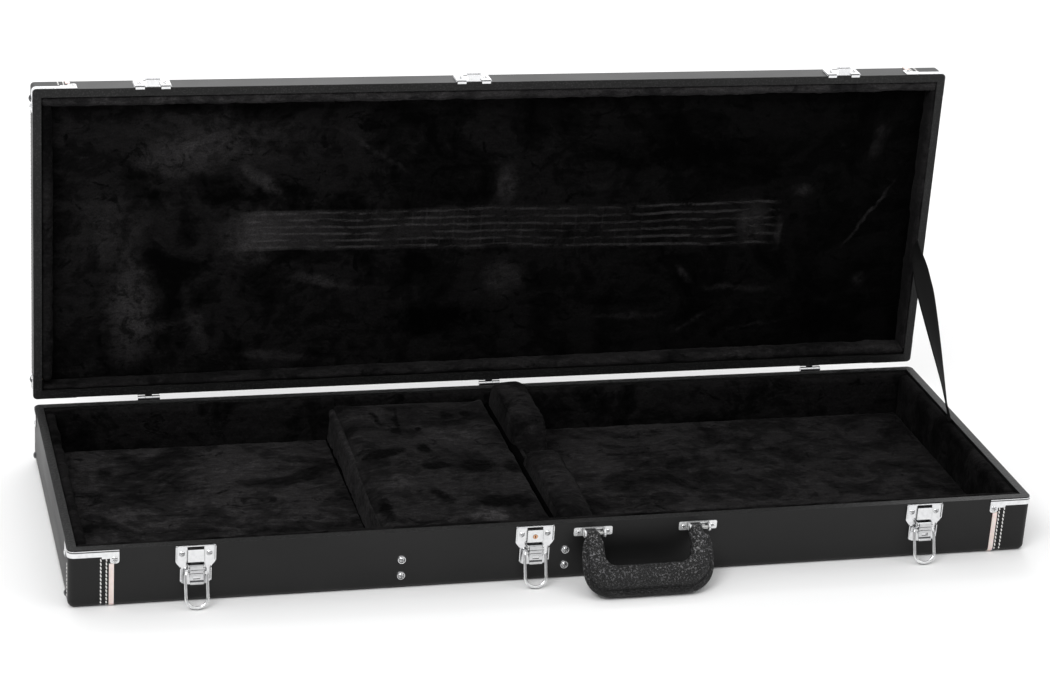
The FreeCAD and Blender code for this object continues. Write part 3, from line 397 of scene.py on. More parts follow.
def metal(name, colour, rough, scratch=0.35, grime_and_gap_shade=0.02, groove_shade_z=None, metallic=1.0):
    """Plated metal; grime is the brightness left in gaps, where shade is painted into the colour,
    and groove the z in mm of a painted dark line of shade.
    """
    wear = 0.06  # how much rougher the smudged places are
    mat = Shader(name)
    smudge = mat.noise(scale=60, detail=5, rough=0.6, distortion=0.3)
    brushing = mat.map(scale=(1.0, 0.12, 0.12), turn=(0, 0, 8))
    scratches = mat.noise(scale=700, detail=3, rough=0.6, vector=brushing)
    spots = mat.ramp(mat.noise(scale=220, detail=4, rough=0.6), (0.35, 0.0), (0.75, 1.0))
    tone = mat.mix(spots, colour, tuple(value * 0.86 for value in colour))
    # painted shade: the colour is darkened in narrow gaps and corners by ambient occlusion
    crevice_shade = mat.ramp(mat.crevice(reach=0.0030), (0.38, grime_and_gap_shade), (0.60, 0.36), (0.78, 1.0))
    if groove_shade_z is not None:
        # painted shade: a thin dark line in the colour stands for the shade under the rolled edge
        # of a rim trim
        away = mat.math("ABSOLUTE", mat.math("SUBTRACT", mat.axis("Z"), groove_shade_z * MM))
        line = mat.ramp(mat.times(away, 1000.0), (0.42, 0.07), (0.85, 1.0))
        crevice_shade = mat.tint(crevice_shade, line)
    soft = mat.node("ShaderNodeBevel", {"Radius": 0.00035}, samples=3).outputs[0]
    polished = max(0.03, rough - wear * 0.4)
    return mat.finish(
        Base_Color=mat.tint(tone, crevice_shade),
        Metallic=metallic,
        Roughness=mat.ramp(smudge, (0.3, polished), (0.75, rough + wear)),
        Normal=mat.bump(scratches, strength=scratch * 0.25, distance=0.00006, normal=soft),
    )


def piping():
    """Cream piping with faint dirt stains."""
    mat = Shader("piping_cream")
    grime_and_gap_shade = mat.noise(scale=90, detail=5, rough=0.65, distortion=0.3)
    stain = mat.ramp(grime_and_gap_shade, (0.35, 0.0), (0.8, 1.0))
    return mat.finish(
        Base_Color=mat.mix(stain, (0.88, 0.765, 0.725), (0.79, 0.655, 0.61)),
        Roughness=mat.ramp(grime_and_gap_shade, (0.3, 0.34), (0.8, 0.52)),
        Subsurface_Weight=0.15,
        Subsurface_Scale=0.001,
        Normal=mat.bump(mat.noise(scale=1200), strength=0.12, distance=0.0001),
    )


def plywood():
    """Bare plywood, its layers stacked in z."""
    mat = Shader("plywood_raw")
    rings = mat.noise(
        scale=26, detail=5, rough=0.6, distortion=1.2, vector=mat.map(scale=(0.18, 1, 1))
    )
    layers = mat.math("SINE", mat.times(mat.axis("Z"), 4200.0))
    tone = mat.ramp(
        rings, (0.3, (0.50, 0.33, 0.18)), (0.55, (0.62, 0.44, 0.26)), (0.75, (0.44, 0.28, 0.15))
    )
    layer_amount = mat.times(mat.add(layers, 1.0), 0.12)
    return mat.finish(
        Base_Color=mat.mix(layer_amount, tone, (0.30, 0.18, 0.09)),
        Roughness=0.75,
        Normal=mat.bump(rings, strength=0.3, distance=0.0004),
    )


def moulded_grain():
    """Moulded PVC with pebbled grain: pale painted highlights on the crests of a dark ground,
    brighter higher up where the light falls and fading out low down.
    """
    mat = Shader("handle_moulded_grain")
    warp = mat.noise(scale=420)
    pebble = mat.cells(scale=520, feature="DISTANCE_TO_EDGE")
    height = mat.times(mat.math("MINIMUM", pebble, 0.32), 3.0)
    fine = mat.noise(scale=1400)
    rub = mat.noise(scale=38, detail=4, rough=0.6, distortion=0.4)
    worn = mat.ramp(rub, (0.35, 0.0), (0.75, 1.0))
    tone = mat.mix(worn, (0.0042, 0.0042, 0.0044), (0.0085, 0.0084, 0.0084))
    # painted highlights: pale glints on the grain crests, made stronger higher up the handle where
    # the light falls
    grain_glint = mat.noise(scale=470, rough=0.7, distortion=0.3)
    grain_glint = mat.ramp(grain_glint, (0.44, 0.62), (0.545, 1.0), (0.625, 19.0))

    def upward(*stops):
        """A ramp up z, counted in tenths of a metre."""
        return mat.ramp(mat.times(mat.axis("Z"), 10.0), *stops)

    plain = mat.ramp(rub, (0.3, 0.95), (0.75, 1.05))
    grain_glint = mat.mix(upward((0.08, 0.25), (0.30, 1.0)), plain, grain_glint)
    grain_glint = mat.tint(grain_glint, upward((0.22, 1.0), (0.46, 1.9)))
    total = mat.add(mat.add(height, mat.times(warp, 0.6)), mat.times(fine, 0.4))
    return mat.finish(
        Base_Color=mat.tint(tone, grain_glint),
        Roughness=mat.ramp(rub, (0.3, 0.36), (0.75, 0.48)),
        Specular_IOR_Level=0.34,
        Normal=mat.bump(total, strength=0.9, distance=0.0008),
    )


def webbing():
    """Woven nylon with cross ribs."""
    mat = Shader("webbing_nylon")
    run = mat.add(mat.axis("Z"), mat.times(mat.axis("Y"), 0.97))
    ribs = mat.math("SINE", mat.times(run, 3300.0))
    warp = mat.math("SINE", mat.times(mat.axis("X"), 5200.0))
    fuzz = mat.noise(scale=1800, rough=0.6)
    weave = mat.add(mat.times(warp, 0.25), mat.times(fuzz, 0.5))
    lit = mat.times(mat.add(ribs, 1.4), 0.42)
    return mat.finish(
        Base_Color=mat.ramp(lit, (0.1, 0.0016), (0.9, 0.0085)),
        Roughness=0.78,
        Specular_IOR_Level=0.12,
        Sheen_Weight=0.01,
        Sheen_Roughness=0.4,
        Normal=mat.bump(mat.add(mat.times(ribs, 0.8), weave), strength=0.7, distance=0.0003),
    )


def rubber():
    mat = Shader("foot_rubber")
    dust = mat.noise(scale=240, detail=4, rough=0.6)
    grain = mat.noise(scale=1600, detail=3, rough=0.6)
    return mat.finish(
        Base_Color=mat.ramp(dust, (0.3, 0.010), (0.8, 0.028)),
        Roughness=mat.ramp(dust, (0.3, 0.5), (0.8, 0.75)),
        Normal=mat.bump(grain, strength=0.3, distance=0.0002),
    )


def thread():
    mat = Shader("thread_white")
    twist = mat.noise(scale=2600, vector=mat.map(scale=(1, 1, 0.6), turn=(30, 0, 0)))
    return mat.finish(
        Base_Color=mat.ramp(twist, (0.3, (0.66, 0.65, 0.63)), (0.7, (0.93, 0.92, 0.90))),
        Roughness=0.65,
        Sheen_Weight=0.2,
        Normal=mat.bump(twist, strength=0.5, distance=0.0002),
    )


# Per finish: material name, light, dark, size, seed, sheen, tufts, fade (see plush). The finishes
# are copies of one black plush with greys set for the light each place gets, painted light and
# shade: floors, cushion, roll and lid head strip lighter, upright linings and lid panel darker.
PLUSHES = {
    "plush": ("plush_lining", 0.0095, 0.0009, 1.0, 0.0, 0.010, 0.4),
    "plush_band": ("plush_lid_band", 0.0165, 0.0040, 0.9, 1.2, 0.014, 0.5, (0.75, 1.2)),
    "plush_head": ("plush_lid_head", 0.033, 0.0110, 0.9, 6.2, 0.020, 0.5),
    "plush_side": ("plush_lid_side", 0.0150, 0.0070, 0.9, 3.2, 0.012, 0.4),
    "plush_roll": ("plush_roll", 0.026, 0.0090, 1.0, 4.4, 0.022, 0.6),
    # near-black copy for creases and gaps where shade falls: painted shade
    "seam": ("plush_painted_shade", 0.0012, 0.0004, 1.0, 8.8, 0.0, 0.0),
    "plush_floor": ("plush_floor", 0.024, 0.0024, 1.25, 2.3, 0.020, 0.55, (1.25, 0.70)),
    "plush_lid": ("plush_lid_panel", 0.0058, 0.0005, 1.1, 5.1, 0.005, 0.3, (1.75, 0.42)),
    "plush_cushion": ("plush_cushion", 0.0172, 0.0028, 1.2, 7.7, 0.022, 0.6),
}
# Brushed places: centre (x and z on the lid panel, x and y on the cushion) and half
# length and width in mm, turn in degrees, level (below 0 is darker).
PANEL_MARKS = (
    (-357, 350, 80, 34, 8, 0.8), (-272, 318, 50, 12, -35, 0.9), (-285, 250, 44, 46, 0, 0.9),
    (-414, 165, 42, 86, 4, 1.0), (-300, 370, 150, 40, -6, 0.4), (-440, 260, 60, 60, 0, 0.35),
    (-204, 195, 58, 10, -14, 0.65), (-344, 150, 12, 60, 18, 0.45), (-250, 103, 80, 8, -5, 0.55),
    (-140, 346, 78, 5, -34, 0.35), (13, 305, 16, 32, 0, 1.15), (13, 190, 32, 30, 0, 0.95),
    (313, 250, 28, 38, 0, 1.5), (371, 288, 20, 10, 0, 1.3), (348, 240, 6, 26, 0, 1.9),
    (459, 257, 62, 3.6, 54.5, 2.4), (462, 348, 13, 34, -12, 1.2), (455, 173, 15, 15, 0, 0.9),
    (233, 189, 21, 6, -52, 0.9), (300, 168, 56, 6, -3, 0.8), (172, 136, 60, 6, -2, 0.6),
    (250, 128, 36, 5, 28, 0.6), (330, 120, 50, 4, 8, 0.5), (130, 300, 120, 10, 2, 0.18),
    (-60, 140, 90, 30, 0, -0.5), (230, 340, 180, 34, 0, -0.35), (420, 120, 60, 30, 0, -0.3),
)
CUSHION_MARKS = (
    (-160, 18, 36, 13, 20, -1.1), (-61, -26, 27, 22, -8, -1.0), (-106, -18, 24, 12, 0, -0.9),
    (-25, -30, 14, 22, 0, -0.8), (-60, -113, 38, 17, 0, -1.25), (-34, -115, 13, 22, 0, -0.8),
    (-135, 75, 8, 14, 20, -1.0), (-108, 78, 6, 10, 0, -1.0), (-113, 27, 11, 14, -12, -1.0),
    (-185, -118, 10, 34, 0, -0.9), (-165, 122, 36, 26, 0, 0.26), (-75, 58, 58, 34, 4, 0.26),
    (-75, -142, 40, 18, 0, 0.55), (-165, -50, 42, 22, 4, 0.40), (-150, 108, 5, 34, 6, -0.8),
    (-128, 106, 4, 40, -8, -0.7), (-70, 110, 10, 12, 0, -0.7), (-45, 112, 9, 14, 20, -0.7),
    (-120, -90, 12, 30, 24, -0.55),
)
MARKINGS = {
    "plush_lid": dict(marks=PANEL_MARKS, facing="front", lines=True),
    "plush_cushion": dict(marks=CUSHION_MARKS, facing="top"),
}
CHROME = (0.80, 0.805, 0.815)
# bail_chrome and bracket_chrome are lighter, partly non-metallic copies of the chrome and
# lever_chrome a darker one, each set to how bright it reads in its light: painted light and shade
METALS = {
    "chrome": dict(name="bright_chrome", colour=CHROME, rough=0.10),
    "steel": dict(name="zinc_steel", colour=(0.62, 0.62, 0.61), rough=0.24, scratch=0.6),
    "brass": dict(name="copper_barrel", colour=(0.72, 0.40, 0.24), rough=0.22),
    "bail_chrome": dict(
        name="bail_wire_chrome", colour=(0.93, 0.935, 0.94), rough=0.14, grime_and_gap_shade=0.22, metallic=0.72
    ),
    "lever_chrome": dict(
        name="lever_chrome", colour=(0.62, 0.625, 0.635), rough=0.10, grime_and_gap_shade=0.0
    ),
    "bracket_chrome": dict(
        name="handle_bracket_chrome", colour=(0.88, 0.885, 0.89), rough=0.24, grime_and_gap_shade=0.22,
        metallic=0.62,
    ),
    "trim_chrome": dict(name="rim_trim_chrome", colour=CHROME, rough=0.10, groove_shade_z=63.1),
    "dark_metal": dict(name="black_nickel", colour=(0.10, 0.10, 0.105), rough=0.24),
}

MATERIALS = {
    "vinyl": vinyl("covering_vinyl", grain=1500, depth=0.00006, base=0.0074),
    "rim_vinyl": vinyl(
        "rim_grain_vinyl", grain=430, depth=0.0006, base=0.0064, rough=0.5, shine=0.30, fleck=4.8
    ),
    "leatherette": vinyl(
        "end_cap_leatherette", grain=950, depth=0.00010, base=0.0064, rough=0.46
    ),
}
for finish, values in PLUSHES.items():
    MATERIALS[finish] = plush(*values, **MARKINGS.get(finish, {}))
for finish, values in METALS.items():
    MATERIALS[finish] = metal(**values)
MATERIALS.update(
    piping=piping(), plywood=plywood(), handle=moulded_grain(), webbing=webbing(),
    foot=rubber(), thread=thread(),
)

# Loaded pieces by finish; all others are bright chrome.
PIECES = {
    "vinyl": ("base_covering", "lid_covering"),
    "leatherette": ("base_end_caps", "lid_end_caps"),
    "piping": ("base_piping", "lid_piping"),
    "steel": ("latch_pins", "handle_pins", "hinge_pins"),
    "dark_metal": ("handle_core", "base_end_studs", "lid_end_studs"),
    "brass": ("lock_barrel",),
    "foot": ("base_spine_feet", "lid_spine_feet"),
    "trim_chrome": ("base_corner_trims",),
    "bracket_chrome": ("handle_brackets",),
    "bail_chrome": ("latch_bail_left", "latch_bail_middle", "latch_bail_right"),
    "lever_chrome": ("latch_lever_left", "latch_lever_middle", "latch_lever_right"),
    "plywood": (
        "base_front_board", "base_back_board", "base_end_boards", "base_bottom_panel",
        "lid_long_boards", "lid_end_boards", "lid_top_panel",
    ),
}
finish_of = {name: finish for finish, names in PIECES.items() for name in names}
for name, obj in nodes.items():
    obj.data.materials.clear()
    obj.data.materials.append(MATERIALS[finish_of.get(name, "chrome")])

# The rims carry a coarser embossed cloth than the outside.
RIM_REACH = 0.0002  # metres
for name in ("base_covering", "base_end_caps", "lid_covering", "lid_end_caps"):
    mesh = nodes[name].data
    mesh.materials.append(MATERIALS["rim_vinyl"])
    low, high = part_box(name)
    for face in mesh.polygons:
        if name.startswith("base"):
            on_rim = face.center.z > high.z - RIM_REACH and abs(face.normal.z) > 0.9
        else:
            on_rim = face.center.y < low.y + RIM_REACH and abs(face.normal.y) > 0.9
        if on_rim:
            face.material_index = 1


# ------------------------------------------------------------ mesh helpers
def build(name, points, faces, finish, body, smooth=True):
    """A piece from points in mm and faces, riding on a body."""
    mesh = bpy.data.meshes.new(name)
    points = np.asarray(points, float) * MM
    faces = [tuple(int(i) for i in face) for face in faces]
    mesh.from_pydata([tuple(point) for point in points], [], faces)
    mesh.update()
    mesh.materials.append(MATERIALS[finish])
    mesh.polygons.foreach_set("use_smooth", [smooth] * len(mesh.polygons))
    obj = bpy.data.objects.new(name, mesh)
    scene.collection.objects.link(obj)
    if body:
        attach(obj, body)
    return obj


def corners(node):
    """Low and high corner of a loaded piece, in mm."""
    low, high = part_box(node)
    return np.array(low) / MM, np.array(high) / MM


def ease(share):
    """Smoothstep of a share, held to 0..1."""
    share = min(1.0, max(0.0, share))
    return share * share * (3 - 2 * share)


def unit(vector):
    return vector / np.linalg.norm(vector)


def tube(spans, width, capped=True):
    """Faces joining spans + 1 rings of width points each."""
    faces = []
    for k in range(spans):
        for j in range(width):
            first, second = k * width + j, k * width + (j + 1) % width
            faces.append((first, second, second + width, first + width))
    if capped:
        faces.append(tuple(range(width - 1, -1, -1)))
        faces.append(tuple(spans * width + j for j in range(width)))
    return faces


def lattice(count):
    """Grid points and outward quads of the skin of a box of count cells."""
    shape = np.array(count) + 1
    index = np.zeros(shape, int)
    skin = np.zeros(shape, bool)
    skin[[0, -1]] = True
    skin[:, [0, -1]] = True
    skin[:, :, [0, -1]] = True
    points = np.argwhere(skin)
    index[skin] = np.arange(len(points))
    faces = []
    for sheet, flip in (
        (index[0], True), (index[-1], False), (index[:, 0], False),
        (index[:, -1], True), (index[:, :, 0], True), (index[:, :, -1], False),
    ):
        quads = np.stack([sheet[:-1, :-1], sheet[1:, :-1], sheet[1:, 1:], sheet[:-1, 1:]], -1)
        quads = quads.reshape(-1, 4)
        faces.append(quads[:, ::-1] if flip else quads)
    return points, np.concatenate(faces)


def soft_shape(low, high, step, turn, free="", swell=0.0, rough=0.0, seed=0):
    """Padded block: a box in mm with edges rounded by turn, in cells of about step.

    free lists the sides where the pile stands uneven by rough; the first also crowns
    outward by swell.
    """
    low, high = np.array(low, float), np.array(high, float)
    size = high - low
    count = np.maximum(3, np.round(size / step)).astype(int)
    grid, faces = lattice(count)
    share = grid / count
    points = low + share * size
    radius = min(turn, size.min() / 2 - 0.05)
    core = np.clip(points, low + radius, high - radius)
    normal = points - core
    normal = normal / np.linalg.norm(normal, axis=1, keepdims=True)
    points = core + normal * radius
    arch = 1 - np.abs(2 * share - 1) ** 3.2
    waves = rough * pile(points, BLOCK_PILE, seed)
    lift = np.zeros_like(points)
    for number, side in enumerate(free.split()):
        sign = 1 if side[0] == "+" else -1
        axis = "xyz".index(side[1])
        facing = np.clip(sign * normal[:, axis], 0, 1)
        crown = arch[:, axis - 1] * arch[:, axis - 2]  # over the two other axes
        height = 0.0 if number else swell
        lift[:, axis] += sign * facing * (height * crown + waves)
    return points + lift, faces


def soft_block(name, low, high, turn, step=3.0, finish="plush", body="base", replaces=None,
               **shape):
    points, faces = soft_shape(low, high, step, turn, **shape)
    obj = build(name, points, faces, finish, body)
    if replaces:
        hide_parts(replaces)


# --------------------------------------- covering turned in over the rims
STRIP = 0.5  # thickness
STRIP_STEP = 14.0
STRIP_GAP = 0.05  # to the inside of the boards
RIM_GAP = 0.06
BASE_TURN_IN, LID_TURN_IN = 13, 12


def rim_strips(name, body, low, high, side_axis):
    """Four thin vinyl strips inside a box: at both ends of x and of side_axis."""
    for tag, axis, at_high in (
        ("left", 0, False), ("right", 0, True), ("low", side_axis, False), ("high", side_axis, True)
    ):
        start, end = np.array(low), np.array(high)
        if at_high:
            start[axis] = end[axis] - STRIP
        else:
            end[axis] = start[axis] + STRIP
        count = np.maximum(1, np.round((end - start) / STRIP_STEP)).astype(int)
        grid, faces = lattice(count)
        points = start + grid / count * (end - start)
        build(f"{name}_{tag}", points, faces, "rim_vinyl", body, smooth=False)


low, high = corners("base_bottom_panel")
rim_z = corners("base_covering")[1][2]
rim_strips(
    "turn_in_base", "base",
    (low[0] + STRIP_GAP, low[1] + STRIP_GAP, rim_z - BASE_TURN_IN),
    (high[0] - STRIP_GAP, high[1] - STRIP_GAP, rim_z - RIM_GAP), side_axis=1,
)
low, high = corners("lid_top_panel")
lid_rim_y = corners("lid_covering")[0][1]
rim_strips(
    "turn_in_lid", "lid",
    (low[0] + STRIP_GAP, lid_rim_y + RIM_GAP, low[2] + STRIP_GAP),
    (high[0] - STRIP_GAP, lid_rim_y + LID_TURN_IN, high[2] - STRIP_GAP), side_axis=2,
)

# ------------------------------------------------------------ base linings
LINING = 12.0  # thickness
LINING_TURN = 5.5
COMPARTMENT_LINING_TOP = 48.0
LEDGE_FOOT = 45.5
FRONT_LEDGE, BACK_LEDGE = 11.0, 6.5  # thickness
WALL_GAP = 0.1

side_low, side_high = corners("base_lining_sides")
end_low, end_high = corners("base_lining_ends")
left_wall_low, left_wall_high = corners("compartment_wall")
right_wall_low, right_wall_high = corners("neck_wall")
front_y, back_y = side_low[1], side_high[1]
floor_z = side_low[2]
lining_top = rim_z - 1.1

BAYS = (
    ("head", side_low[0], left_wall_low[0] - WALL_GAP, lining_top),
    (
        "compartment", left_wall_high[0] + WALL_GAP, right_wall_low[0] - WALL_GAP,
        COMPARTMENT_LINING_TOP,
    ),
    ("body", right_wall_high[0] + WALL_GAP, side_high[0], lining_top),
)
for k, (bay, left, right, roof) in enumerate(BAYS):
    for side, near, far, inward, seed in (
        ("front", front_y, front_y + LINING, "+y", 11 + k),
        ("back", back_y - LINING, back_y, "-y", 21 + k),
    ):
        soft_block(
            f"lining_{side}_{bay}", (left, near, floor_z), (right, far, roof), LINING_TURN,
            free=inward + " +z", swell=1.6, rough=0.75, seed=seed, replaces="base_lining_sides",
        )
# over the compartment the linings carry on above its lid, between the bays
for side, near, far, inward, seed in (
    ("front", front_y, front_y + FRONT_LEDGE, "+y", 31),
    ("back", back_y - BACK_LEDGE, back_y, "-y", 32),
):
    soft_block(
        "lining_ledge_" + side, (left_wall_low[0] - 1, near, LEDGE_FOOT),
        (right_wall_high[0] + 1, far, lining_top), turn=3.2,
        free=inward + " +z", swell=0.4, rough=0.55, seed=seed, replaces="base_lining_sides",
    )
end_y = -front_y - LINING + 1  # the end pads reach 1 mm into the side pads
for side, left, right, inward, rough, seed in (
    ("left", end_low[0], end_low[0] + LINING, "+x", 0.95, 41),
    ("right", end_high[0] - LINING, end_high[0] + 1.4, "-x", 0.85, 43),
):
    soft_block(
        f"lining_{side}_end", (left, -end_y, floor_z), (right, end_y, lining_top), LINING_TURN,
        free=inward + " +z", swell=1.5, rough=rough, seed=seed, replaces="base_lining_ends",
    )

# bay floors
for name, node, seed in (
    ("floor_headstock_bay", "headstock_bay_pad", 51),
    ("floor_compartment", "compartment_floor_pad", 53),
    ("floor_body_bay", "body_bay_pad", 55),
):
    soft_block(
        name, *corners(node), turn=3.0, step=3.4, finish="plush_floor",
        free="+z", swell=1.8, rough=0.7, seed=seed, replaces=node,
    )

# left facing of the compartment wall, in a lighter plush copy standing for the light it catches
# (painted light), and a near-black strip along its foot standing for the shade in the crease
# (painted shade)
FACING_TOP = 54.5
face_low, face_high = corners("compartment_wall_pad")
soft_block(
    "facing_compartment_wall", face_low, (face_high[0], face_high[1], FACING_TOP),
    turn=5.4, step=2.6, finish="plush_roll",
    free="-x", swell=1.8, rough=1.3, seed=61, replaces="compartment_wall_pad",
)
foot_z = corners("headstock_bay_pad")[1][2]
soft_block(
    "shade_strip_compartment_foot", (face_low[0] - 2.6, face_low[1] + 1, foot_z - 2.5),
    (face_low[0] + 1.5, face_high[1] - 1, foot_z + 1.5),
    turn=1.4, step=2.0, finish="seam", free="+z", rough=0.35, seed=62,
)
# the neck wall's top shows in the gap beside the cushion and takes the near-black copy as painted
# shade
for name, node, finish in (
    ("wall_compartment", "compartment_wall", "plush"), ("wall_neck", "neck_wall", "seam")
):
    soft_block(name, *corners(node), turn=2.2, finish=finish, replaces=node)

# ------------------------------------------------------------ neck cradle
# Tall back half, lower front half and a slot between them: (y, top z).
CRADLE_PROFILE = (
    (-161, 57), (-151, 61), (-70, 66), (-6, 66), (2, 63), (6, 46), (14, 34),
    (38, 34), (46, 46), (55, 66), (64, 77), (149, 80), (161, 77),
)
PROFILE_BLUR = ((-5, 0.15), (-2.5, 0.2), (0, 0.3), (2.5, 0.2), (5, 0.15))  # (offset, weight)
CRADLE_CELLS = (14, 108, 22)
SLOT_LEFT_END, SLOT_LEFT_Z = 4, 50.4  # the slot's lowest z left of this x
EDGE_DROP, CRADLE_CROWN = 5.5, 1.2
LEFT_LEAN, EDGE_PULL = 4.6, 2.6  # how far the upper sides draw in

cradle_low, cradle_high = corners("neck_cradle")
grid, faces = lattice(CRADLE_CELLS)
share = grid / np.array(CRADLE_CELLS)
share_x, share_y, share_z = share.T
x = cradle_low[0] + share_x * (cradle_high[0] - cradle_low[0])
y = cradle_low[1] + share_y * (cradle_high[1] - cradle_low[1])
roof = np.zeros(len(y))
for offset, weight in PROFILE_BLUR:
    roof += weight * np.interp(y + offset, *np.array(CRADLE_PROFILE).T)
z = floor_z + share_z * (roof - floor_z)
on_top = share_z > 0.99
# the slot dips no lower than the wall it laps over
z = np.where((x < SLOT_LEFT_END) & on_top, np.maximum(z, SLOT_LEFT_Z), z)
across = np.abs(2 * share_x - 1)
z = z - np.where(on_top, EDGE_DROP * across ** 4, 0)
z = z + np.where(on_top, CRADLE_CROWN * (1 - across ** 2), 0)
points = np.stack([x, y, z], 1)
pull = np.clip((share_z - 0.80) / 0.2, 0, 1) ** 2 * EDGE_PULL
lean = np.clip((share_z - 0.68) / 0.32, 0, 1) ** 1.5 * LEFT_LEAN
points[:, 0] += np.where(share_x < 0.01, lean, np.where(share_x > 0.99, -pull, 0))
points[:, 1] += np.where(share_y < 0.005, pull, np.where(share_y > 0.995, -pull, 0))
wobble = pile(points, CRADLE_PILE, seed=71)
points[:, 2] += np.where(on_top, wobble * 0.8, 0)
points[:, 0] += np.where((share_x > 0.99) & (share_z > 0.1), wobble, 0)
cradle = build("cradle_neck_rest", points, faces, "plush_cushion", "base")
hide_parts("neck_cradle")


# ------------------------------------------------ cushion of the compartment lid
def apply_modifiers(obj):
    """Gives the object its evaluated mesh, with its own material, and returns the mesh."""
    graph = bpy.context.evaluated_depsgraph_get()
    mesh = bpy.data.meshes.new_from_object(obj.evaluated_get(graph))
    material = obj.data.materials[0]
    obj.modifiers.clear()
    obj.data = mesh
    mesh.materials.clear()
    mesh.materials.append(material)
    return mesh


def set_places(mesh, places):
    mesh.vertices.foreach_set("co", places.ravel())
    mesh.update()
    mesh.polygons.foreach_set("use_smooth", [True] * len(mesh.polygons))


def inflate(obj, pressure, most, held_below, frames=20, voxel=0.005):
    """Blows the padding up by at most `most` with a short cloth simulation, in metres."""
    bpy.context.view_layer.objects.active = obj
    remesh = obj.modifiers.new("remesh", "REMESH")
    remesh.mode = "VOXEL"
    remesh.voxel_size = voxel
    remesh.use_smooth_shade = True
    mesh = apply_modifiers(obj)
    rest = np.array([vertex.co for vertex in mesh.vertices])
    group = obj.vertex_groups.new(name="held")
    group.add(np.flatnonzero(rest[:, 2] < held_below).tolist(), 1.0, "REPLACE")
    cloth = obj.modifiers.new("cloth", "CLOTH")
    cloth.settings.quality = 5
    cloth.settings.mass = 0.2
    cloth.settings.tension_stiffness = 12
    cloth.settings.compression_stiffness = 12
    cloth.settings.bending_stiffness = 0.6
    cloth.settings.use_pressure = True
    cloth.settings.uniform_pressure_force = pressure
    cloth.settings.vertex_group_mass = "held"
    cloth.settings.effector_weights.gravity = 0
    cloth.point_cache.frame_start = 1
    cloth.point_cache.frame_end = frames
    for number in range(1, frames + 1):
        scene.frame_set(number)
    graph = bpy.context.evaluated_depsgraph_get()
    blown = obj.evaluated_get(graph).to_mesh()
    move = np.array([vertex.co for vertex in blown.vertices]) - rest
    obj.evaluated_get(graph).to_mesh_clear()
    obj.modifiers.clear()
    obj.vertex_groups.clear()
    scene.frame_set(1)
    size = np.linalg.norm(move, axis=1, keepdims=True)
    move *= np.minimum(1.0, most / np.maximum(size, 1e-9))
    set_places(mesh, rest + move)


def refine(obj, rough, seed, flat_below):
    """One subdivision, then the uneven stand of the pile above a z in metres."""
    subdivision = obj.modifiers.new("sub", "SUBSURF")
    subdivision.levels = subdivision.render_levels = 1
    mesh = apply_modifiers(obj)
    places = np.array([vertex.co for vertex in mesh.vertices])
    normals = np.array([vertex.normal for vertex in mesh.vertices])
    lift = rough * pile(places / MM, CUSHION_PILE, seed) * MM
    lift = lift * (places[:, 2] > flat_below)
    set_places(mesh, places + normals * lift[:, None])


board_low = corners("compartment_lid_board")[0]
pad_high = corners("compartment_lid_pad")[1]
points, faces = soft_shape(
    board_low + (0.3, 0.3, 1.4), pad_high + (-3.6, 3.2, -0.6), step=4.0, turn=4.2
)
# its left edge hangs over the top of the wall, further towards the front
spill = 5.0 + 7.5 * np.clip((120.0 - points[:, 1]) / 200.0, 0, 1)
near_wall = np.clip((-150.0 - points[:, 0]) / (-150.0 - board_low[0]), 0, 1)
points[:, 0] -= spill * near_wall
points[:, 2] -= 2.2 * np.clip((-178.0 - points[:, 0]) / 20.0, 0, 1) ** 2
cushion = build("cushion_compartment_lid", points, faces, "plush_cushion", None)
inflate(cushion, pressure=4.0, most=0.0022, held_below=(board_low[2] + 3.0) * MM)
refine(cushion, rough=0.55, seed=83, flat_below=(board_low[2] + 6) * MM)
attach(cushion, "compartment_lid")
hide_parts("compartment_lid_board", "compartment_lid_pad")

# --------------------------------------------------------------- lid lining
RIGHT_STRIP = 5.4  # thickness of the right strip
STRIP_LAP = 11  # how far the end strips stop short of the outer edges
lid_low, lid_high = corners("lid_linings")
near_y, far_y = lid_rim_y + 1.3, lid_high[1]
# name, low corner, high corner, inward side, turn, finish, seed
LID_STRIPS = (
    (
        "top", (lid_low[0], near_y, lid_high[2] - LINING),
        (lid_high[0] + 2, far_y, lid_high[2]), "-z", 5.2, "plush_head", 91,
    ),
    (
        "bottom", (lid_low[0], near_y, lid_low[2]),
        (lid_high[0] + 2, far_y, lid_low[2] + LINING), "+z", 5.2, "plush_band", 93,
    ),
    (
        "left", (lid_low[0], near_y, lid_low[2] + STRIP_LAP),
        (lid_low[0] + LINING, far_y, lid_high[2] - STRIP_LAP), "+x", 5.2, "plush_band", 95,
    ),
    (
        "right", (lid_high[0] - RIGHT_STRIP, near_y - 0.5, lid_low[2] + 6),
        (lid_high[0] + 1.4, far_y, lid_high[2] - STRIP_LAP), "-x", 2.9, "plush_side", 97,
    ),
)
for name, low, high, inward, turn, finish, seed in LID_STRIPS:
    points, faces = soft_shape(
        low, high, step=3.0, turn=turn, free=inward + " -y", swell=1.4, rough=0.95, seed=seed
    )
    if name == "bottom":
        # its padding is thinner towards the left
        thinning = 0.72 + 0.28 * points[:, 0] / 527.0
        points[:, 2] = low[2] + (points[:, 2] - low[2]) * thinning
    strip = build("lid_lining_" + name, points, faces, finish, "lid")
    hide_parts("lid_linings")
low, high = corners("lid_panel_pad")
soft_block(
    "lid_panel_plush", low - (2.5, 0, 9.0), high + (11.0, 0, 2.5), turn=2.4, step=3.6,
    finish="plush_lid", body="lid", free="-y", swell=1.6, rough=0.7, seed=99,
    replaces="lid_panel_pad",
)

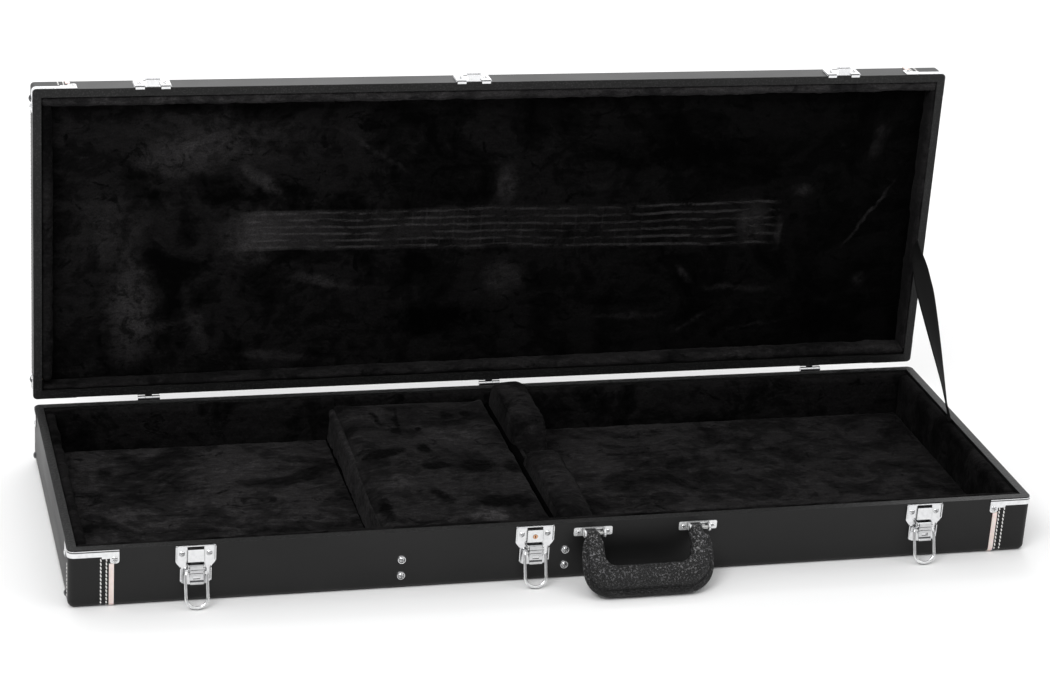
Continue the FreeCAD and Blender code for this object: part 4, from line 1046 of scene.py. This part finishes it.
# ------------------------------------------------------------------- handle
# The grip is drawn as a U in x-z hanging from its pivot, then tilted about x.
TILT = math.radians(-43.5)
LEG_TOP = -2.0
LEG_STEPS, ARC_STEPS, BAR_STEPS = 16, 14, 12
FIN_START, FIN_BLEND = -5.0, 4.5  # z where the fin starts and how far it takes to grow
GRIP_THICK, SLEEVE_THINNING = 10.3, 3.7
SLEEVE_END = ((2.6, 0.93), (4.2, 0.72), (5.0, 0.42))  # (rise, share of the section)
# sideways lean of the sleeves to the right: z, shift
LEAN_Z, LEAN_X = (-40.0, -11.0, -6.0, 0.0), (0.0, 2.4, 0.9, 0.5)


def half_path(top_x, side_x, taper, bottom_z, radius):
    """Left half of a U, from the top of its leg to the middle."""
    points = []
    for k in range(LEG_STEPS):
        z = LEG_TOP + (bottom_z + radius - LEG_TOP) * (k / LEG_STEPS)
        points.append((top_x + (side_x - top_x) * ease((LEG_TOP - z) / taper), z))
    for k in range(ARC_STEPS + 1):
        angle = math.pi / 2 * k / ARC_STEPS
        x = side_x + radius - radius * math.cos(angle)
        points.append((x, bottom_z + radius - radius * math.sin(angle)))
    start = points[-1][0]
    for k in range(1, BAR_STEPS + 1):
        points.append((start * (1 - k / BAR_STEPS), bottom_z))
    return np.array(points)


def whole_path(left, right):
    """A full U; both halves are drawn on the left."""
    return np.concatenate([left, (right * (-1, 1))[-2::-1]])


def grow_fin(fin, core):
    """Lets the fin rise out of the core a little way down the leg."""
    for k in range(len(fin)):
        grown = ease((FIN_START - fin[k][1]) / FIN_BLEND) if k < LEG_STEPS else 1.0
        fin[k] = core[k] + (fin[k] - core[k]) * grown
    return fin


def grip_section(reach, thick, lip):
    """Closed section: a rounded core with a thin lip on its outward side."""
    half = 1.75  # half thickness of the lip
    steps = 26
    start = 0.30  # angle left open for the lip
    core = []
    for j in range(steps + 1):
        angle = start + (2 * math.pi - 2 * start) * j / steps
        cos, sin = math.cos(angle), math.sin(angle)
        core.append((
            math.copysign(abs(cos) ** 0.78, cos) * reach,
            math.copysign(abs(sin) ** 0.78, sin) * thick,
        ))
    edge = [
        (reach * 0.985, -2.3), (reach + lip * 0.18, -half), (reach + lip * 0.55, -half),
        (reach + lip * 0.86, -half * 0.85), (reach + lip, -half * 0.35),
    ]
    edge += [(x, -y) for x, y in reversed(edge)]
    return core + edge


# the lower right corners are rounder than the left ones
OUTER = dict(top_x=-64.6, side_x=-67.0, taper=24, bottom_z=-64.6)
FIN = dict(top_x=-70.4, side_x=-73.3, taper=26, bottom_z=-70.7)
outer_left, outer_right = (half_path(**OUTER, radius=radius) for radius in (22.5, 28.0))
fin_left, fin_right = (half_path(**FIN, radius=radius) for radius in (28.0, 34.5))
inner_half = half_path(top_x=-49.2, side_x=-47.8, taper=26, bottom_z=-36.8, radius=13.0)
outer = whole_path(outer_left, outer_right)
inner = whole_path(inner_half, inner_half)
fin = whole_path(grow_fin(fin_left, outer_left), grow_fin(fin_right, outer_right))

points = []
for outside, inside, tip in zip(outer, inner, fin):
    middle, half = (outside + inside) / 2, (outside - inside) / 2
    reach = float(np.linalg.norm(half))
    outward = half / reach
    height = min(1.0, max(0.0, (middle[1] + 24) / 20))
    thick = GRIP_THICK - SLEEVE_THINNING * height ** 1.4
    lip = max(0.15, float(np.linalg.norm(tip - outside)))
    section = grip_section(reach, thick, lip)
    for out, depth in section:
        flat = middle + outward * out
        points.append((flat[0], depth, flat[1]))
width = len(section)
faces = tube(len(outer) - 1, width, capped=False)
# rounded sleeve ends around the pins
for k in (0, len(outer) - 1):
    ring = list(range(k * width, (k + 1) * width))
    centre = np.mean([points[i] for i in ring], axis=0)
    last = ring
    for rise, shrink in SLEEVE_END:
        fresh = []
        for i in ring:
            point = np.array(points[i])
            x, y, _ = centre + (point - centre) * shrink
            fresh.append(len(points))
            points.append((x, y, point[2] + rise))
        for j in range(width):
            following = (j + 1) % width
            quad = (last[j], last[following], fresh[following], fresh[j])
            faces.append(quad if k else (quad[0], quad[3], quad[2], quad[1]))
        last = fresh
    faces.append(tuple(reversed(last)) if k else tuple(last))

turned = np.array(points)
turned[:, 0] += np.interp(turned[:, 2], LEAN_Z, LEAN_X)
y, z = turned[:, 1].copy(), turned[:, 2].copy()
turned[:, 1] = y * math.cos(TILT) - z * math.sin(TILT)
turned[:, 2] = y * math.sin(TILT) + z * math.cos(TILT)
grip_low, grip_high = corners("handle_grip")
pin_low, pin_high = corners("handle_pins")
pivot = (pin_low + pin_high) / 2
pivot[0] = (grip_low[0] + grip_high[0]) / 2
grip = build("handle_grip_moulded", turned + pivot, faces, "handle", None)
editing = bmesh.new()
editing.from_mesh(grip.data)
bmesh.ops.recalc_face_normals(editing, faces=editing.faces)
editing.to_mesh(grip.data)
editing.free()
subdivision = grip.modifiers.new("sub", "SUBSURF")
subdivision.levels = subdivision.render_levels = 2
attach(grip, "handle")
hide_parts("handle_grip")

# ----------------------------------------------------------------- stitches
PITCH, STITCH_GAP = 4.4, 0.45
SEAM_RADIUS, EDGE_RADIUS = 0.78, 0.5  # thread radius beside the piping and on the ends
SLANT = 0.42  # how far each end of a stitch leans sideways
HALF_LENGTH, HALF_WIDTH = corners("base_end_caps")[1][:2]
PIPING_INSET = 2.5  # middle of the piping from its end
UNDERSIDE = 0.6
SEAM_DROP = 9.4  # top of the seams below the rim
LID_RIM = 30.0


def stitch(start, end, out, radius):
    """A short thread, arched away from the surface."""
    length = np.linalg.norm(end - start)
    run = (end - start) / length
    side = np.cross(run, out)
    steps, sides = 6, 6
    points = []
    for k in range(steps + 1):
        share = k / steps
        swell = math.sin(math.pi * (0.08 + 0.84 * share)) ** 0.5
        rise = radius * (1.1 * math.sin(math.pi * share)) - radius * 0.55
        centre = start + run * length * share + out * rise
        for j in range(sides):
            angle = 2 * math.pi * j / sides
            spoke = side * math.cos(angle) + out * math.sin(angle)
            points.append(centre + spoke * radius * swell)
    return points, tube(steps, sides)


def stitch_run(path, outs, radius):
    """Stitches along a polyline, given an outward direction at each point."""
    path, outs = np.array(path, float), np.array(outs, float)
    travelled = np.concatenate([[0], np.cumsum(np.linalg.norm(np.diff(path, axis=0), axis=1))])

    def at(distance, values):
        return np.array([np.interp(distance, travelled, column) for column in values.T])

    stitches = []
    place = 1.0
    while place + PITCH - STITCH_GAP < travelled[-1]:
        start, end = at(place, path), at(place + PITCH - STITCH_GAP, path)
        out = unit(at(place + PITCH / 2, outs))
        lean = unit(np.cross(end - start, out)) * SLANT
        stitches.append(stitch(start + lean, end - lean, out, radius))
        place += PITCH
    return stitches


def girth(x, top_z, edge_radius):
    """Path down the front, under and up the back at one x, and its outward directions."""
    path = [(x, -HALF_WIDTH, top_z)]
    outs = [(0, -1, 0)]
    for side in (-1, 1):
        for k in range(7):
            angle = math.pi / 2 * (k / 6 if side < 0 else 1 - k / 6)
            cos, sin = math.cos(angle), math.sin(angle)
            y = side * (HALF_WIDTH - edge_radius + edge_radius * cos)
            path.append((x, y, UNDERSIDE + edge_radius - edge_radius * sin))
            outs.append((0, side * cos, -sin))
    path.append((x, HALF_WIDTH, top_z))
    outs.append((0, 1, 0))
    return path, outs


def end_stitches(node, shifts, rim, edge_radius, uprights):
    """All stitches of one half lying open side up: seams beyond its piping, at shifts
    from it, then its ends, with or without upright runs at their corners."""
    low, high = corners(node)
    stitches = []
    for sign, seam in ((-1, low[0] + PIPING_INSET), (1, high[0] - PIPING_INSET)):
        for shift in shifts:
            path, outs = girth(seam + sign * shift, rim - SEAM_DROP, edge_radius)
            stitches += stitch_run(path, outs, SEAM_RADIUS)
        x = sign * HALF_LENGTH
        runs = []
        if uprights:
            for y in (-HALF_WIDTH + 9, HALF_WIDTH - 9):
                runs.append([(x, y, rim - 16), (x, y, 9)])
        runs.append([(x, -HALF_WIDTH + 11, 8.5), (x, HALF_WIDTH - 11, 8.5)])
        for path in runs:
            stitches += stitch_run(path, [(sign, 0, 0)] * 2, EDGE_RADIUS)
    points, faces = [], []
    for stitch_points, stitch_faces in stitches:
        base = len(points)
        points += stitch_points
        faces += [tuple(i + base for i in face) for face in stitch_faces]
    return np.array(points), faces


def to_lid(points):
    """Lid drawn lying open side up, its hinge side at -y, to its open place."""
    x, y, z = points.T
    return np.stack([x, 216.85 - z, 252.35 + y], 1)


points, faces = end_stitches("base_piping", (5.0, 10.7), rim_z, edge_radius=6.0, uprights=True)
build("stitches_base_ends", points, faces, "thread", "base")
points, faces = end_stitches("lid_piping", (4.6, 10.4), LID_RIM, edge_radius=4.0, uprights=False)
build("stitches_lid_ends", to_lid(points), faces, "thread", "lid")

# --------------------------------------------------------------- stay strap
# A twisted band from the lid down to the base.
STRAP_SPANS, STRAP_CELLS = 72, 8  # along and across
STRAP_HALF_WIDTH, STRAP_HALF_THICK, STRAP_CUP = 12.5, 0.65, 0.9
LID_ANGLE, MIDDLE_ANGLE, LAST_TURN = 78, -8, 68  # twist in degrees
UPPER_SHARE = 0.22  # share of the length in which the first twist is made
STRAP_SAG = 2.0

strap_low, strap_high = corners("stay_strap")
strap_x = (strap_low[0] + strap_high[0]) / 2 - 2.1
lid_end = np.array([strap_x, 189.0, 225.0])
base_end = np.array([strap_x, 25.0, 61.0])
run = base_end - lid_end
run_direction = unit(run)
flat = unit(np.cross(run_direction, (1.0, 0, 0)))
if flat[2] < 0:
    flat = -flat
points = []
for k in range(STRAP_SPANS + 1):
    share = k / STRAP_SPANS
    if share < UPPER_SHARE:
        angle = LID_ANGLE + (MIDDLE_ANGLE - LID_ANGLE) * ease(share / UPPER_SHARE)
    else:
        angle = MIDDLE_ANGLE - (share - UPPER_SHARE) / (1 - UPPER_SHARE) * LAST_TURN
    angle = math.radians(angle)
    across = np.array([1.0, 0, 0]) * math.cos(angle) + flat * math.sin(angle)
    outward = np.cross(across, run_direction)
    sag = math.sin(math.pi * share) * STRAP_SAG
    centre = lid_end + run * share + np.array([0.6, -0.5, -1.0]) * sag
    pinch = (1.0 - 0.30 * share ** 3) * (0.46 + 0.54 * ease(share / 0.30))
    for side in (1, -1):
        for j in range(STRAP_CELLS + 1):
            place = 2 * j / STRAP_CELLS - 1
            sideways = across * (place * STRAP_HALF_WIDTH * pinch) * side
            cup = STRAP_CUP * (1 - place ** 2)
            points.append(centre + sideways + outward * (STRAP_HALF_THICK * side + cup))
faces = tube(STRAP_SPANS, 2 * (STRAP_CELLS + 1))
strap = build("stay_strap_twisted", points, faces, "webbing", "base")
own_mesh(strap)
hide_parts("stay_strap")

# ------------------------------------------------------ floor, in metres
FLOOR_HALF, FLOOR_Z = 30.0, -0.0004


def pale_floor():
    """Pale and matt from above, clear from below."""
    mat = Shader("floor_pale")
    mottle = mat.noise(scale=0.8, detail=3)
    mat.finish(
        Base_Color=mat.ramp(mottle, (0.3, 0.885), (0.7, 0.90)),
        Roughness=0.9,
        Specular_IOR_Level=0.1,
    )
    clear = mat.node("ShaderNodeBsdfTransparent")
    below = mat.node("ShaderNodeNewGeometry").outputs["Backfacing"]
    shaders = {0: below, 1: mat.surface.outputs[0], 2: clear.outputs[0]}
    blend = mat.node("ShaderNodeMixShader", shaders)
    mat.feed(mat.out.inputs["Surface"], blend.outputs[0])
    return mat.material


mesh = bpy.data.meshes.new("floor")
floor_corners = [
    (x * FLOOR_HALF, y * FLOOR_HALF, FLOOR_Z) for x, y in ((-1, -1), (1, -1), (1, 1), (-1, 1))
]
mesh.from_pydata(floor_corners, [], [(0, 1, 2, 3)])
mesh.materials.append(pale_floor())
floor = bpy.data.objects.new("floor", mesh)
scene.collection.objects.link(floor)
floor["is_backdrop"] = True

# ------------------------------------------------------------------- world
scene.world = bpy.data.worlds.new("studio")
sky = Nodes(scene.world, "Generated")
split = sky.node("ShaderNodeSeparateXYZ", {0: sky.place})
height = sky.ramp(
    split.outputs["Z"], (0.0, (0.62, 0.62, 0.63)), (0.85, (0.98, 0.98, 0.98)), smooth=False
)
# a dim band low down on the camera side gives the metal its dark streaks
depth = sky.scale_add(split.outputs["Y"], by=0.35, add=0.42)
dim = sky.ramp(
    sky.scale_add(split.outputs["Z"], by=0.75, add=depth),
    (0.42, (0.17, 0.17, 0.175)), (0.58, 1), smooth=False,
)
# the far wall is brighter, for the glancing light on the upright faces
glow = sky.smoothstep(split.outputs["Y"], from_min=0.50, from_max=0.90, to_min=1.0, to_max=2.1)
background = sky.node("ShaderNodeBackground", {0: sky.tint(height, dim), 1: glow})
sky.node("ShaderNodeOutputWorld", {0: background.outputs[0]})

# ------------------------------------------------------------------ lights
# name, place and target in metres, width, height, watts
SOFTBOXES = (
    ("key", (-1.9, -2.2, 3.0), (0, 0, 0.1), 1.8, 1.4, 62),
    ("fill", (2.4, -1.8, 2.2), (0.1, 0, 0.1), 1.4, 1.4, 9),
    ("rear", (0.2, 2.6, 2.6), (0, 0, 0.2), 2.6, 1.2, 30),
)
for name, place, target, width, height, watts in SOFTBOXES:
    light = bpy.data.lights.new(name, "AREA")
    light.shape = "RECTANGLE"
    light.size = width
    light.size_y = height
    light.energy = watts
    obj = bpy.data.objects.new(name, light)
    scene.collection.objects.link(obj)
    obj.location = place
    obj.rotation_euler = (Vector(target) - Vector(place)).to_track_quat("-Z", "Y").to_euler()

# ------------------------------------------------------------------ camera
CAMERA_PLACE = (-0.7976, -2.7890, 1.4039)
camera_data = bpy.data.cameras.new("camera")
camera = bpy.data.objects.new("camera", camera_data)
scene.collection.objects.link(camera)
forward = Vector((0.25013, 0.88746, -0.38710)).normalized()
up = Vector((0.03956, 0.39011, 0.91992)).normalized()
right = forward.cross(up).normalized()
up = right.cross(forward).normalized()
pose = Matrix((right, up, -forward)).transposed().to_4x4()
pose.translation = CAMERA_PLACE
camera.matrix_world = pose
camera_data.sensor_width = 36.0
camera_data.lens = 98.42
camera_data.clip_start = 0.05
camera_data.clip_end = 100
scene.camera = camera
scene.view_settings.view_transform = "Standard"

low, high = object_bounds()
